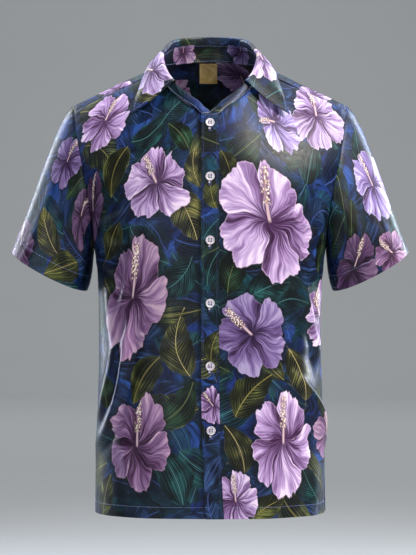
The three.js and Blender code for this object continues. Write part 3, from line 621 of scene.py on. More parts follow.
def leaf_points():
    """The collar's leaf from its outer edge up over the roll to the stand's top."""
    degrees = neck_degrees(np.linspace(LEAF_SKIPS, NECK_STEPS - LEAF_SKIPS, 161))
    side = folding(degrees)
    outward, up = neck_frame(degrees)
    top = stand_height(side) + foot_of(degrees)
    stand_top = neck_point(degrees) + up * top[:, None] + outward * stand_offset(degrees)[:, None]
    root = stand_top + up * 0.3
    hub = root + up * (leaf_rise(side) + 0.5)[:, None] + outward * LEAF_ROLL
    rows = [root, root + up * (leaf_rise(side) * 0.5 + 0.2)[:, None]]
    for turn in np.linspace(0, 0.86 * np.pi, 10):
        rows.append(hub - outward * LEAF_ROLL * math.cos(turn) + up * (LEAF_ROLL * math.sin(turn) + 0.6))
    shoulder = rows[-1]
    edge = np.stack([np.where(degrees > 180, -1, 1) * edge_x(side), edge_y(side), edge_z(side)], -1)
    belly = np.stack([-0.65 * np.sign(edge[:, 0]), 0 * side, -0.75 + 0 * side], -1)
    belly *= (LEAF_BELLY * np.maximum(0, 1 - (side - neck_degrees(LEAF_SKIPS)) / 25))[:, None]
    for t in np.linspace(0, 1, 21)[1:]:
        bulge = math.sin(math.pi * t)
        rows.append(mix(shoulder, edge, t) + outward * 2 * bulge + belly * bulge)
    points = np.array(rows)[::-1]
    from_first, from_last, from_edge, _ = edge_distances(points)
    inset = np.minimum(np.minimum(from_first, from_last), from_edge)
    relief = -0.35 * np.exp(-((inset - 5) / 1.3) ** 2) + 0.25 * np.exp(-((inset - 2.4) / 1.6) ** 2)
    return raised(points, relief)


PIECES = {
    "front_right": (lambda: front_points(-1), False),
    "front_left": (lambda: front_points(1), False),
    "placket": (placket_points, False),
    "back": (back_points, False),
    "yoke": (yoke_points, False),
    "sleeve_left": (lambda: sleeve_points(1), True),
    "sleeve_right": (lambda: sleeve_points(-1), True),
    "collar_stand": (stand_points, False),
    "collar_leaf": (leaf_points, False),
}
made_points = {}


def points_of(piece):
    if piece not in made_points:
        made_points[piece] = PIECES[piece][0]()
    return made_points[piece]


# ---- the print's places on each piece ----
def flat_places(points, closed):
    """Where each point lies on the flat cloth: to the right of the middle column and up from the bottom row."""
    if closed:
        points = np.concatenate([points, points[:, :1]], 1)
    s, _, t, _ = edge_distances(points)
    middle = s.shape[1] // 2
    return np.stack([s - s[:, middle:middle + 1], t], -1)


def place_on(piece, side, x, z):
    points = points_of(piece)
    flat = flat_places(points, PIECES[piece][1])[:, :points.shape[1]]
    miss = (points[..., 0] - x) ** 2 + (points[..., 2] - z) ** 2 + 4e4 * (points[..., 1] * side < -5)
    return flat[np.unravel_index(np.argmin(miss), miss.shape)]


def motifs_of(piece):
    """Each layer's motifs on a piece: right, up, half width, half height, turn and kind."""
    layers = {"bloom": [], "leaf_c": []}
    random = np.random.default_rng(sorted(PIECES).index(piece) + 5)
    for layer, placed in (("bloom", BLOOMS), ("leaf_c", LEAVES)):
        for (name, side), rows in placed.items():
            for x, z, *halves, turn, tint in rows if name == piece else ():
                layers[layer].append([*place_on(piece, side, x, z), halves[0], halves[-1], turn,
                                      tint + random.uniform(0.1, 0.9)])
    flat = flat_places(points_of(piece), PIECES[piece][1]).reshape(-1, 2)
    low, high = flat.min(0), flat.max(0)
    for layer, spacing, size, tints in SCATTER:
        rows = []
        for j, up in enumerate(np.arange(low[1] - spacing, high[1] + spacing, spacing * 0.88)):
            for right in np.arange(low[0] - spacing, high[0] + spacing, spacing) + spacing / 2 * (j % 2):
                shift = random.uniform(-0.16, 0.16, 2) * spacing
                turn = random.choice([-1, 1]) * random.uniform(15, 150)
                rows.append([right + shift[0], up + shift[1], size * random.uniform(0.9, 1.15), size, turn,
                             random.choice(tints) + random.uniform(0.1, 0.9)])
        layers[layer] = rows
    return layers


def motif_corners(corners, motifs, narrow):
    """Each face takes the motif that covers it most, and its corners get their place in that motif."""
    if not motifs:
        return np.full(corners.shape[:2] + (3,), 9.0)
    rows = np.array(motifs)

    def within(places, row):
        away = places - row[..., :2]
        cos, sin = np.cos(np.radians(row[..., 4])), np.sin(np.radians(row[..., 4]))
        return ((away[..., 0] * cos + away[..., 1] * sin) / row[..., 2],
                (-away[..., 0] * sin + away[..., 1] * cos) / row[..., 3])

    u, v = within(corners.mean(1)[:, None], rows[None])
    row = rows[np.argmin(np.hypot(u / narrow, v), axis=1)][:, None]
    u, v = within(corners, row)
    return np.stack([u, v, np.broadcast_to(row[..., 5], u.shape)], -1)


# ---- making meshes ----
def select_only(mesh, kind, wanted):
    """Selects in edit mode only those faces or edges that pass the test."""
    bpy.ops.mesh.select_all(action="DESELECT")
    shape = bmesh.from_edit_mesh(mesh)
    for part in getattr(shape, kind):
        part.select = wanted(part)
    bmesh.update_edit_mesh(mesh)


def put_piece(name, points, faces, material):
    """A new mesh object at the origin, in metres."""
    mesh = bpy.data.meshes.new(name)
    mesh.from_pydata((np.asarray(points) * MM).tolist(), [], [list(face) for face in faces])
    mesh.materials.append(material)
    mesh.update()
    piece = bpy.data.objects.new(name, mesh)
    bpy.context.scene.collection.objects.link(piece)
    mesh.shade_smooth()
    mesh.set_sharp_from_angle(angle=math.radians(60))
    return piece


def shell_of(points, closed, thick, hem=0):
    """A thin closed shell round a grid of middle points: its points, faces, and each corner's grid place."""
    normals = grid_normals(points, closed)
    turned = np.zeros(points.shape[:2])
    if hem:
        turned = 0.5 * thick * (edge_distances(points)[2] < hem + 1)
    outer = points + normals * thick / 2
    inner = points - normals * (thick / 2 + turned)[..., None]
    rows, columns = points.shape[:2]
    index = np.arange(rows * columns).reshape(rows, columns)
    corner = np.arange(rows * (columns + closed)).reshape(rows, columns + closed)
    if closed:
        index = np.concatenate([index, index[:, :1]], 1)

    def quads(grid):
        a, b, c, d = grid[:-1, :-1], grid[:-1, 1:], grid[1:, 1:], grid[1:, :-1]
        front = np.stack([a, b, c, d], -1).reshape(-1, 4)
        return front, front[:, [0, 3, 2, 1]]

    front, behind = quads(index)
    front_corner, behind_corner = quads(corner)
    under = rows * columns
    faces = [front, behind + under]
    corners = [front_corner, behind_corner]
    wrong = [np.zeros(len(front)), np.ones(len(behind))]
    rims = [(index[0], corner[0], 1), (index[-1], corner[-1], -1)]
    if not closed:
        rims += [(index[:, 0], corner[:, 0], -1), (index[:, -1], corner[:, -1], 1)]
    for line, places, way in rims:
        rim = np.stack([line[:-1], line[:-1] + under, line[1:] + under, line[1:]], -1)
        rim_corner = np.stack([places[:-1], places[:-1], places[1:], places[1:]], -1)
        faces.append(rim if way > 0 else rim[:, ::-1])
        corners.append(rim_corner if way > 0 else rim_corner[:, ::-1])
        wrong.append(np.zeros(len(rim)))
    verts = np.concatenate([outer.reshape(-1, 3), inner.reshape(-1, 3)])
    return verts, np.concatenate(faces), np.concatenate(corners), np.concatenate(wrong)


def cloth_piece(name, thickness, hem=0):
    """One cut piece of the shirt, as a thin shell that carries its place in the print."""
    points = points_of(name)
    closed = PIECES[name][1]
    verts, faces, corners, wrong = shell_of(points, closed, thickness / MM, hem)
    piece = put_piece(name + "_cloth", verts, faces, look("cloth"))
    flat = flat_places(points, closed).reshape(-1, 2)[corners]
    wrong_side = np.broadcast_to(wrong[:, None, None], flat.shape[:2] + (1,))
    write_corners(piece.data, "cloth", np.concatenate([flat * MM, wrong_side], -1))
    for layer, motifs in motifs_of(name).items():
        narrow = 1.0 if layer == "bloom" else 0.6
        write_corners(piece.data, layer, motif_corners(flat, motifs, narrow))
    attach(piece, "root")
    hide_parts(name)


def write_corners(mesh, name, values):
    layer = mesh.attributes.new(name, "FLOAT_VECTOR", "CORNER")
    layer.data.foreach_set("vector", np.ascontiguousarray(values, dtype=np.float32).ravel())


# ---- sewing ----
def line_from(points, closed, distance, edge):
    """Points and normals of a line at some distance from one edge of a grid."""
    normals = grid_normals(points, closed)
    if edge in ("first", "last"):
        points, normals = points.transpose(1, 0, 2), normals.transpose(1, 0, 2)
    if edge in ("top", "last"):
        points, normals = points[::-1], normals[::-1]
    step = np.linalg.norm(np.diff(points, axis=0), axis=-1)
    reach = np.concatenate([np.zeros((1, points.shape[1])), np.cumsum(step, 0)])
    row = np.clip((reach < distance).sum(0) - 1, 0, len(points) - 2)
    column = np.arange(points.shape[1])
    share = (distance - reach[row, column]) / np.maximum(reach[row + 1, column] - reach[row, column], 1e-9)
    share = np.clip(share, 0, 1)[:, None]
    line = mix(points[row, column], points[row + 1, column], share)
    facing = mix(normals[row, column], normals[row + 1, column], share)
    if closed and edge in ("bottom", "top"):
        line, facing = np.concatenate([line, line[:1]]), np.concatenate([facing, facing[:1]])
    return line, facing


def spaced(line, facing, pitch, ends=0.0):
    """Even steps along a line: their middles, directions and normals."""
    lengths = np.concatenate([[0], np.cumsum(np.linalg.norm(np.diff(line, axis=0), axis=1))])
    count = max(1, int((lengths[-1] - 2 * ends) / pitch))
    at = ends + (np.arange(count) + 0.5) * (lengths[-1] - 2 * ends) / count

    def along(values, where):
        return np.stack([np.interp(where, lengths, values[:, k]) for k in range(3)], -1)

    middle = along(line, at)
    run = along(line, at + 0.6) - along(line, at - 0.6)
    run /= np.maximum(np.linalg.norm(run, axis=1, keepdims=True), 1e-9)
    normal = along(facing, at)
    normal -= run * (normal * run).sum(1, keepdims=True)
    normal /= np.maximum(np.linalg.norm(normal, axis=1, keepdims=True), 1e-9)
    return middle, run, normal


def grains(middle, run, normal, length, radius):
    """One rounded stitch at each place, its ends dipping into the cloth."""
    sides = 5
    profile = ((-0.5, 0.35, -0.5), (-0.28, 0.95, 0.1), (0.28, 0.95, 0.1), (0.5, 0.35, -0.5))
    side = np.cross(normal, run)
    verts = []
    for along, size, lift in profile:
        for k in range(sides):
            turn = 2 * math.pi * k / sides
            verts.append(middle + run * along * length + side * math.cos(turn) * size * radius
                         + normal * (math.sin(turn) * size + lift) * radius)
    verts = np.stack(verts, 1)
    faces = []
    for ring in range(len(profile) - 1):
        for k in range(sides):
            a, b = ring * sides + k, ring * sides + (k + 1) % sides
            faces.append([a, b, b + sides, a + sides])
    faces.append(list(range(sides))[::-1])
    faces.append([(len(profile) - 1) * sides + k for k in range(sides)])
    all_faces = []
    for n in range(len(middle)):
        all_faces += [[i + n * verts.shape[1] for i in face] for face in faces]
    return verts.reshape(-1, 3), all_faces


def sewn(name, runs, material):
    """Joins the stitches of many lines in one mesh."""
    points, faces = [], []
    total = 0
    for middle, run, normal, length, radius in runs:
        verts, quads = grains(middle, run, normal, length, radius)
        faces += [[i + total for i in face] for face in quads]
        points.append(verts)
        total += len(verts)
    piece = put_piece(name, np.concatenate(points), faces, material)
    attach(piece, "root")


def seam_line(pitch, piece, distance, edge, lift, ends=1.0, part=slice(None)):
    """Stitches at a distance from a piece's edge. A negative lift puts them on the inside."""
    line, facing = line_from(points_of(piece), PIECES[piece][1], distance, edge)
    line, facing = line[part], facing[part]
    middle, run, normal = spaced(line, facing, pitch, ends)
    return middle + normal * lift, run, normal * math.copysign(1, lift), pitch * 0.74, 0.30


# ---- materials ----
def linear(hex_colour):
    """An sRGB hex value as a linear colour."""
    values = [int(hex_colour[i:i + 2], 16) / 255 for i in (0, 2, 4)]
    return tuple(c / 12.92 if c <= 0.04045 else ((c + 0.055) / 1.055) ** 2.4 for c in values) + (1.0,)


def node(tree, kind, links=(), stops=None, **settings):
    """Adds a node with its settings, links and colour stops, and returns its first live output.

    A word after the kind is the operation, or on a Mix node the type of what is mixed."""
    kind, _, choice = kind.partition(" ")
    made = tree.nodes.new("ShaderNode" + kind)
    if choice:
        setattr(made, "data_type" if kind == "Mix" else "operation", choice)
    for name, value in settings.items():
        setattr(made, name, value)
    live = [socket for socket in made.inputs if socket.enabled]
    for key, value in links.items() if isinstance(links, dict) else enumerate(links):
        socket = made.inputs[key] if isinstance(key, str) else live[key]
        if isinstance(value, bpy.types.NodeSocket):
            tree.links.new(value, socket)
        else:
            socket.default_value = value
    if stops:
        ramp = made.color_ramp.elements
        while len(ramp) < len(stops):
            ramp.new(0.5)
        for element, (position, colour) in zip(ramp, stops):
            element.position = position
            element.color = linear(colour)
    return next((socket for socket in made.outputs if socket.enabled), made)


def bare_material(name):
    material = bpy.data.materials.new(name)
    material.use_nodes = True
    material.node_tree.nodes.clear()
    return material, material.node_tree


def group(name, outputs):
    """An empty node group that takes a motif's place and gives the named outputs."""
    tree = bpy.data.node_groups.new(name, "ShaderNodeTree")
    tree.interface.new_socket("Place", in_out="INPUT", socket_type="NodeSocketVector")
    for output, kind in outputs:
        tree.interface.new_socket(output, in_out="OUTPUT", socket_type="NodeSocket" + kind)
    place = tree.nodes.new("NodeGroupInput").outputs[0]
    return tree, place, tree.nodes.new("NodeGroupOutput").inputs


def streaks(t, place, scale, detail, rough, low, high, reach):
    """Soft noise drawn out along a stroke and spread about zero. The place is across, along and apart."""
    spot = node(t, "CombineXYZ", place)
    drawn = node(t, "TexNoise", {"Vector": spot, "Scale": scale, "Detail": detail, "Roughness": rough})
    return node(t, "MapRange", (drawn, low, high, *reach))


def blossom():
    """A hibiscus from above: five wide ruffled petals that lap, with veins, a dark throat and a pistil."""
    t, place, out = group("hibiscus blossom", (("Color", "Color"), ("Cover", "Float"), ("Shade", "Float")))
    u, v, kind = node(t, "SeparateXYZ", (place,)).node.outputs
    # the last digits of a number blended over a face are unsteady, so they are cut off
    kind = node(t, "Math SNAP", (kind, 1 / 64))
    seed = node(t, "Math FRACT", (kind,))
    tint = node(t, "Math FLOOR", (kind,))
    depth = node(t, "Math MULTIPLY", (seed, 23.0))
    spot = node(t, "CombineXYZ", (u, v, depth))
    drift = node(t, "TexNoise", {"Vector": spot, "Scale": 1.7, "Detail": 1.0}).node.outputs["Color"]
    bent = node(t, "VectorMath MULTIPLY_ADD", (drift, (0.36, 0.36, 0.0), spot))
    bent = node(t, "VectorMath SUBTRACT", (bent, (0.18, 0.18, 0.0)))
    x, y, _ = node(t, "SeparateXYZ", (bent,)).node.outputs
    level = node(t, "CombineXYZ", (x, y, 0.0))
    reach = node(t, "VectorMath LENGTH", (level,))
    way = node(t, "VectorMath NORMALIZE", (level,))
    turn = node(t, "Math ARCTAN2", (x, y))
    five = node(t, "Math MULTIPLY_ADD", (turn, 5 / (2 * math.pi), 5.0))
    five = node(t, "Math MULTIPLY_ADD", (reach, 0.22, five))
    petal = node(t, "Math FLOOR", (five,))
    petal = node(t, "Math MODULO", (petal, 5.0))
    q = node(t, "Math FRACT", (five,))
    q = node(t, "Math SUBTRACT", (q, 0.5))
    number = node(t, "Math MULTIPLY_ADD", (seed, 57.0, petal))
    own = node(t, "TexWhiteNoise", {"W": number}, noise_dimensions="1D")
    size = node(t, "Math MULTIPLY_ADD", (own, 0.14, 0.88))
    aside = node(t, "Math ABSOLUTE", (q,))
    aside = node(t, "Math MULTIPLY", (aside, 2.0))
    notch = node(t, "Math POWER", (aside, 4.5))
    notch = node(t, "Math MULTIPLY_ADD", (notch, -0.24, 1.0))
    outline = node(t, "Math MULTIPLY", (size, notch))
    # ruffles run round the rim, and their creases run in towards the throat
    rim_place = node(t, "VectorMath MULTIPLY_ADD", (way, (4.6, 4.6, 1.0), spot))
    ruffle = node(t, "TexNoise", {"Vector": rim_place, "Scale": 1.0, "Detail": 2.0, "Roughness": 0.45})
    outline = node(t, "Math MULTIPLY_ADD", (ruffle, 0.30, outline))
    outline = node(t, "Math SUBTRACT", (outline, 0.14))
    inside = node(t, "Math SUBTRACT", (outline, reach))
    cover = node(t, "MapRange", (inside, 0.0, 0.02, 0.0, 1.0))
    shade = node(t, "MapRange", (inside, -0.22, 0.0, 0.0, 1.0), interpolation_type="SMOOTHSTEP")
    radial = node(t, "Math DIVIDE", (reach, outline))
    # long soft brush strokes that fan out along each petal
    fan = node(t, "Math MULTIPLY_ADD", (reach, 0.6, 0.42))
    fan = node(t, "Math DIVIDE", (q, fan))
    far = node(t, "Math MULTIPLY", (reach, 1.3))
    apart = node(t, "Math MULTIPLY", (number, 3.7))
    wide = node(t, "Math MULTIPLY", (fan, 6.5))
    stroke = streaks(t, (wide, far, apart), 1.0, 3.0, 0.62, 0.32, 0.68, (-0.27, 0.25))
    wide = node(t, "Math MULTIPLY", (fan, 26.0))
    hair = streaks(t, (wide, far, apart), 1.0, 2.0, 0.6, 0.3, 0.7, (-0.15, 0.14))
    crease = node(t, "MapRange", (ruffle, 0.36, 0.64, -0.13, 0.13))
    crease = node(t, "Math MULTIPLY", (crease, radial))
    lap = node(t, "MapRange", (q, 0.12, 0.5, 0.0, 1.0), interpolation_type="SMOOTHSTEP")
    lip = node(t, "MapRange", (q, -0.5, -0.44, 1.0, 0.0))
    tone = node(t, "Math MULTIPLY_ADD", (radial, 0.42, 0.28))
    tone = node(t, "Math MULTIPLY_ADD", (own, 0.22, tone))
    for part in (stroke, hair, crease):
        tone = node(t, "Math ADD", (tone, part))
    tone = node(t, "Math MULTIPLY_ADD", (lap, -0.40, tone))
    tone = node(t, "Math MULTIPLY_ADD", (lip, 0.30, tone))
    colour = node(t, "ValToRGB", (tone,), stops=(
        (0.0, "140A1E"), (0.16, "36213F"), (0.34, "664970"), (0.52, "9076A4"), (0.70, "B49DCA"),
        (0.86, "D4C4E6"), (1.0, "F6EEFC")))
    rim = node(t, "MapRange", (inside, 0.008, 0.04, 0.75, 0.0))
    colour = node(t, "Mix RGBA", (rim, colour, linear("E6D8EE")))
    ragged = node(t, "Math MULTIPLY_ADD", (hair, 1.6, reach))
    ragged = node(t, "Math MULTIPLY_ADD", (stroke, 0.8, ragged))
    throat = node(t, "MapRange", (ragged, 0.02, 0.52, 0.92, 0.0), interpolation_type="SMOOTHSTEP")
    colour = node(t, "Mix RGBA", (throat, colour, linear("3A1640")))
    choice = node(t, "Math MULTIPLY_ADD", (tint, 0.125, 0.05))
    wash = node(t, "ValToRGB", (choice,), stops=(
        (0.0, "FFF0FA"), (0.125, "E2E4FF"), (0.25, "FFFFFF"), (0.375, "8E7688"), (0.5, "D2B6C0"),
        (0.625, "B2A8C4")))
    wash.node.color_ramp.interpolation = "CONSTANT"
    colour = node(t, "Mix RGBA", (1.0, colour, wash), blend_type="MULTIPLY")
    # the pistil and its grains of pollen
    sway = node(t, "Math ADD", (seed, -0.5))
    sway = node(t, "Math MULTIPLY", (sway, v))
    off = node(t, "Math MULTIPLY_ADD", (sway, 0.30, u))
    off = node(t, "Math ABSOLUTE", (off,))
    stem = node(t, "MapRange", (off, 0.020, 0.038, 1.0, 0.0))
    low = node(t, "MapRange", (v, -0.04, 0.02, 0.0, 1.0))
    high = node(t, "MapRange", (v, 0.84, 0.90, 1.0, 0.0))
    for end in (low, high):
        stem = node(t, "Math MULTIPLY", (stem, end))
    colour = node(t, "Mix RGBA", (stem, colour, linear("D9B9BE")))
    dots = node(t, "TexVoronoi", {"Vector": spot, "Scale": 22.0})
    grain = node(t, "MapRange", (dots, 0.36, 0.48, 1.0, 0.0))
    band = node(t, "MapRange", (off, 0.075, 0.12, 1.0, 0.0))
    low = node(t, "MapRange", (v, 0.24, 0.32, 0.0, 1.0))
    tuft = band
    for end in (low, high):
        tuft = node(t, "Math MULTIPLY", (tuft, end))
    under = node(t, "Math MULTIPLY", (tuft, 0.55))
    colour = node(t, "Mix RGBA", (under, colour, linear("6B3F55")))
    grain = node(t, "Math MULTIPLY", (grain, tuft))
    pollen = node(t, "ValToRGB", (dots.node.outputs["Color"],), stops=(
        (0.0, "D6B888"), (0.35, "F2E4C8"), (1.0, "FFFBF0")))
    colour = node(t, "Mix RGBA", (grain, colour, pollen))
    for socket, value in zip(out, (colour, cover, shade)):
        t.links.new(value, socket)
    return t


def leaf():
    """A pointed leaf, dark and brushed, with fine golden veins that sweep from the midrib to the tip."""
    t, place, out = group("veined leaf", (("Color", "Color"), ("Cover", "Float")))
    u, v, kind = node(t, "SeparateXYZ", (place,)).node.outputs
    seed = node(t, "Math FRACT", (kind,))
    tint = node(t, "Math FLOOR", (kind,))
    depth = node(t, "Math MULTIPLY", (seed, 31.0))
    spot = node(t, "CombineXYZ", (u, v, depth))
    sway = node(t, "Math ADD", (seed, -0.5))
    square = node(t, "Math MULTIPLY", (v, v))
    sway = node(t, "Math MULTIPLY", (sway, square))
    off = node(t, "Math MULTIPLY_ADD", (sway, 0.75, u))
    a = node(t, "Math ABSOLUTE", (off,))
    taper = node(t, "Math MULTIPLY_ADD", (square, -1.0, 1.0))
    taper = node(t, "Math MAXIMUM", (taper, 0.0))
    taper = node(t, "Math POWER", (taper, 0.75))
    heel = node(t, "Math MULTIPLY_ADD", (v, -0.15, 0.58))
    half = node(t, "Math MULTIPLY", (taper, heel))
    wave = node(t, "TexNoise", {"Vector": spot, "Scale": 3.6, "Detail": 2.0})
    wave = node(t, "Math MULTIPLY_ADD", (wave, 0.20, -0.10))
    half = node(t, "Math ADD", (half, wave))
    inside = node(t, "Math SUBTRACT", (half, a))
    cover = node(t, "MapRange", (inside, 0.0, 0.045, 0.0, 1.0))
    across = node(t, "Math DIVIDE", (a, half))
    bow = node(t, "Math MULTIPLY", (across, across))
    bow = node(t, "Math MULTIPLY_ADD", (bow, -0.22, v))
    sweep = node(t, "Math MULTIPLY_ADD", (a, -0.95, bow))
    slant = node(t, "Math MULTIPLY", (sweep, 7.4))
    along = node(t, "Math MULTIPLY", (across, 5.4))
    which = node(t, "Math GREATER_THAN", (seed, 0.45))
    phase = node(t, "Mix", (which, slant, along))
    edge = node(t, "Math FRACT", (phase,))
    edge = node(t, "Math ADD", (edge, -0.5))
    edge = node(t, "Math ABSOLUTE", (edge,))
    vein = node(t, "MapRange", (edge, 0.0, 0.075, 1.0, 0.0))
    fade = node(t, "MapRange", (across, 0.35, 1.0, 1.0, 0.1))
    vein = node(t, "Math MULTIPLY", (vein, fade))
    rib = node(t, "MapRange", (a, 0.004, 0.018, 0.8, 0.0))
    border = node(t, "MapRange", (inside, 0.008, 0.035, 1.0, 0.0))
    stroke = streaks(t, (phase, a, depth), 1.8, 3.0, 0.65, 0.32, 0.68, (-0.3, 0.3))
    hairline = node(t, "Math MULTIPLY", (phase, 6.0))
    hair = streaks(t, (hairline, a, depth), 1.2, 2.0, 0.5, 0.35, 0.65, (-0.2, 0.2))
    patch = node(t, "TexNoise", {"Vector": spot, "Scale": 1.3, "Detail": 1.0})
    tone = node(t, "MapRange", (patch, 0.35, 0.65, 0.12, 0.62))
    for part in (stroke, hair):
        tone = node(t, "Math ADD", (tone, part))
    tone = node(t, "Math MULTIPLY_ADD", (edge, 0.20, tone))
    light = node(t, "ValToRGB", (tone,), stops=(
        (0.0, "04070A"), (0.28, "101A1C"), (0.5, "2E3C38"), (0.72, "6C7A66"), (1.0, "D5DAB4")))
    choice = node(t, "Math MULTIPLY_ADD", (tint, 0.125, 0.05))
    wash = node(t, "ValToRGB", (choice,), stops=(
        (0.0, "3E7A6C"), (0.125, "ACAC6C"), (0.25, "3C86A0"), (0.375, "5478D8"), (0.5, "D8C886")))
    wash.node.color_ramp.interpolation = "CONSTANT"
    colour = node(t, "Mix RGBA", (1.0, light, wash), blend_type="MULTIPLY")
    uneven = node(t, "MapRange", (patch, 0.4, 0.6, 0.25, 0.85))
    line = node(t, "Math MULTIPLY", (vein, uneven))
    line = node(t, "Math MAXIMUM", (line, rib))
    edging = node(t, "Math MULTIPLY", (border, uneven))
    edging = node(t, "Math MULTIPLY", (edging, 0.5))
    line = node(t, "Math MAXIMUM", (line, edging))
    gold = node(t, "ValToRGB", (choice,), stops=(
        (0.0, "7C8C58"), (0.125, "B4A85E"), (0.25, "5A9698"), (0.375, "5470C0"), (0.5, "DCCA8A")))
    gold.node.color_ramp.interpolation = "CONSTANT"
    colour = node(t, "Mix RGBA", (line, colour, gold))
    for socket, value in zip(out, (colour, cover)):
        t.links.new(value, socket)
    return t


def brushwork():
    """Patches of curved brush strokes. Each patch fans out its own way, as leaves seen deep in shadow do."""
    t, place, out = group("brushed foliage", (("Tone", "Float"), ("Patch", "Float")))
    warp = node(t, "TexNoise", {"Vector": place, "Scale": 0.9, "Detail": 2.0}).node.outputs["Color"]
    bent = node(t, "VectorMath MULTIPLY_ADD", (warp, (1.1, 1.1, 0.0), place))
    cells = node(t, "TexVoronoi", {"Vector": bent, "Scale": 1.0}, voronoi_dimensions="2D").node.outputs
    away = node(t, "VectorMath SUBTRACT", (bent, cells["Position"]))
    first, second, third = node(t, "SeparateXYZ", (cells["Color"],)).node.outputs
    angle = node(t, "Math MULTIPLY", (first, 2 * math.pi))
    turned = node(t, "VectorRotate", {"Vector": away, "Angle": angle}, rotation_type="Z_AXIS")
    x, y, _ = node(t, "SeparateXYZ", (turned,)).node.outputs
    y = node(t, "Math ADD", (y, 0.75))
    arm = node(t, "CombineXYZ", (x, y, 0.0))
    far = node(t, "VectorMath LENGTH", (arm,))
    turn = node(t, "Math ARCTAN2", (x, y))
    curl = node(t, "Math ADD", (second, -0.5))
    curl = node(t, "Math MULTIPLY", (curl, far))
    turn = node(t, "Math MULTIPLY_ADD", (curl, 1.6, turn))
    wide = node(t, "Math MULTIPLY", (turn, 5.0))
    fine = node(t, "Math MULTIPLY", (turn, 17.0))
    apart = node(t, "Math MULTIPLY", (first, 37.0))
    tone = node(t, "MapRange", (far, 0.2, 1.5, 0.25, 0.55))
    for part in (streaks(t, (wide, far, apart), 1.0, 3.0, 0.6, 0.32, 0.68, (-0.3, 0.3)),
                 streaks(t, (fine, far, apart), 1.0, 2.0, 0.6, 0.32, 0.68, (-0.10, 0.10))):
        tone = node(t, "Math ADD", (tone, part))
    for socket, value in zip(out, (tone, third)):
        t.links.new(value, socket)
    return t


def printed_cloth():
    """Silky printed twill: rotary-printed viscose, dyed through, so its wrong side shows the print duller."""
    material, t = bare_material("printed viscose twill")
    place = node(t, "Attribute", attribute_name="cloth").node.outputs["Vector"]
    s, v, wrong = node(t, "SeparateXYZ", (place,)).node.outputs
    flat = node(t, "CombineXYZ", (s, v, 0.0))
    # The ground: dark blue, teal and green foliage, brushed in patches 60 mm and 35 mm wide.
    layers = []
    for scale, tints in ((15.0, ((0.0, "1E3676"), (0.22, "101F4A"), (0.42, "103A4C"), (0.6, "264A90"),
                                 (0.8, "0E2A38"))),
                         (27.0, ((0.0, "0E2E3A"), (0.25, "182C66"), (0.5, "14282A"), (0.7, "124450"),
                                 (0.85, "2C4C94")))):
        spread = node(t, "VectorMath SCALE", {0: flat, "Scale": scale})
        drawn = node(t, "Group", (spread,), node_tree=look("brushwork")).node.outputs
        hue = node(t, "ValToRGB", (drawn["Patch"],), stops=tints)
        hue.node.color_ramp.interpolation = "CONSTANT"
        light = node(t, "MapRange", (drawn["Tone"], 0.1, 0.95, 0.06, 1.9))
        layers.append(node(t, "VectorMath SCALE", {0: hue, "Scale": light}))
    patch = node(t, "TexNoise", {"Vector": flat, "Scale": 13.0, "Detail": 2.0})
    patch = node(t, "MapRange", (patch, 0.47, 0.55, 0.0, 1.0))
    colour = node(t, "Mix RGBA", (patch, *layers))
    for layer, strength in (("leaf_a", 0.7), ("leaf_b", 0.85), ("leaf_c", 1.0)):
        spot = node(t, "Attribute", attribute_name=layer).node.outputs["Vector"]
        drawn = node(t, "Group", (spot,), node_tree=look("leaf")).node.outputs
        cover = node(t, "Math MULTIPLY", (drawn["Cover"], strength))
        colour = node(t, "Mix RGBA", (cover, colour, drawn["Color"]))
    spot = node(t, "Attribute", attribute_name="bloom").node.outputs["Vector"]
    drawn = node(t, "Group", (spot,), node_tree=look("blossom")).node.outputs
    shade = node(t, "Math MULTIPLY", (drawn["Shade"], 0.65))
    colour = node(t, "Mix RGBA", (shade, colour, linear("03050C")))
    colour = node(t, "Mix RGBA", (drawn["Cover"], colour, drawn["Color"]))
    dull = node(t, "Mix RGBA", (1.0, colour, linear("B2ABB0")), blend_type="MULTIPLY")
    colour = node(t, "Mix RGBA", (wrong, colour, dull))
    # A twill's threads are 0.25 mm apart, so its rib is drawn at 1 mm to show at all.
    rib = node(t, "TexWave", {"Vector": flat, "Scale": 310.0}, wave_type="BANDS", bands_direction="DIAGONAL")
    crinkle = node(t, "TexNoise", {"Vector": flat, "Scale": 140.0, "Detail": 3.0})
    soft = node(t, "TexNoise", {"Vector": flat, "Scale": 22.0, "Detail": 2.0})
    height = node(t, "Math MULTIPLY_ADD", (crinkle, 0.25, rib))
    bump = node(t, "Bump", {"Height": height, "Strength": 0.10, "Distance": 0.0002})
    bump = node(t, "Bump", {"Height": soft, "Strength": 0.10, "Distance": 0.003, "Normal": bump})
    gloss = node(t, "MapRange", (crinkle, 0.3, 0.7, 0.34, 0.46))
    shader = node(t, "BsdfPrincipled", {
        "Base Color": colour, "Roughness": gloss, "Normal": bump, "IOR": 1.45, "Specular IOR Level": 0.35,
        "Sheen Weight": 0.03,
        "Sheen Roughness": 0.4, "Sheen Tint": linear("C8D4FF")})
    node(t, "OutputMaterial", {"Surface": shader})
    return material


def sewing_thread(name, colour):
    """Spun polyester sewing thread: a soft, slightly fuzzy shine, lighter than the cloth it holds."""
    material, t = bare_material(name)
    place = node(t, "TexCoord").node.outputs["Object"]
    ply = node(t, "TexNoise", {"Vector": place, "Scale": 900.0, "Detail": 1.0})
    base = node(t, "ValToRGB", (ply,), stops=((0.3, colour[0]), (0.7, colour[1])))
    shader = node(t, "BsdfPrincipled", {"Base Color": base, "Roughness": 0.6, "Sheen Weight": 0.4})
    node(t, "OutputMaterial", {"Surface": shader})
    return material


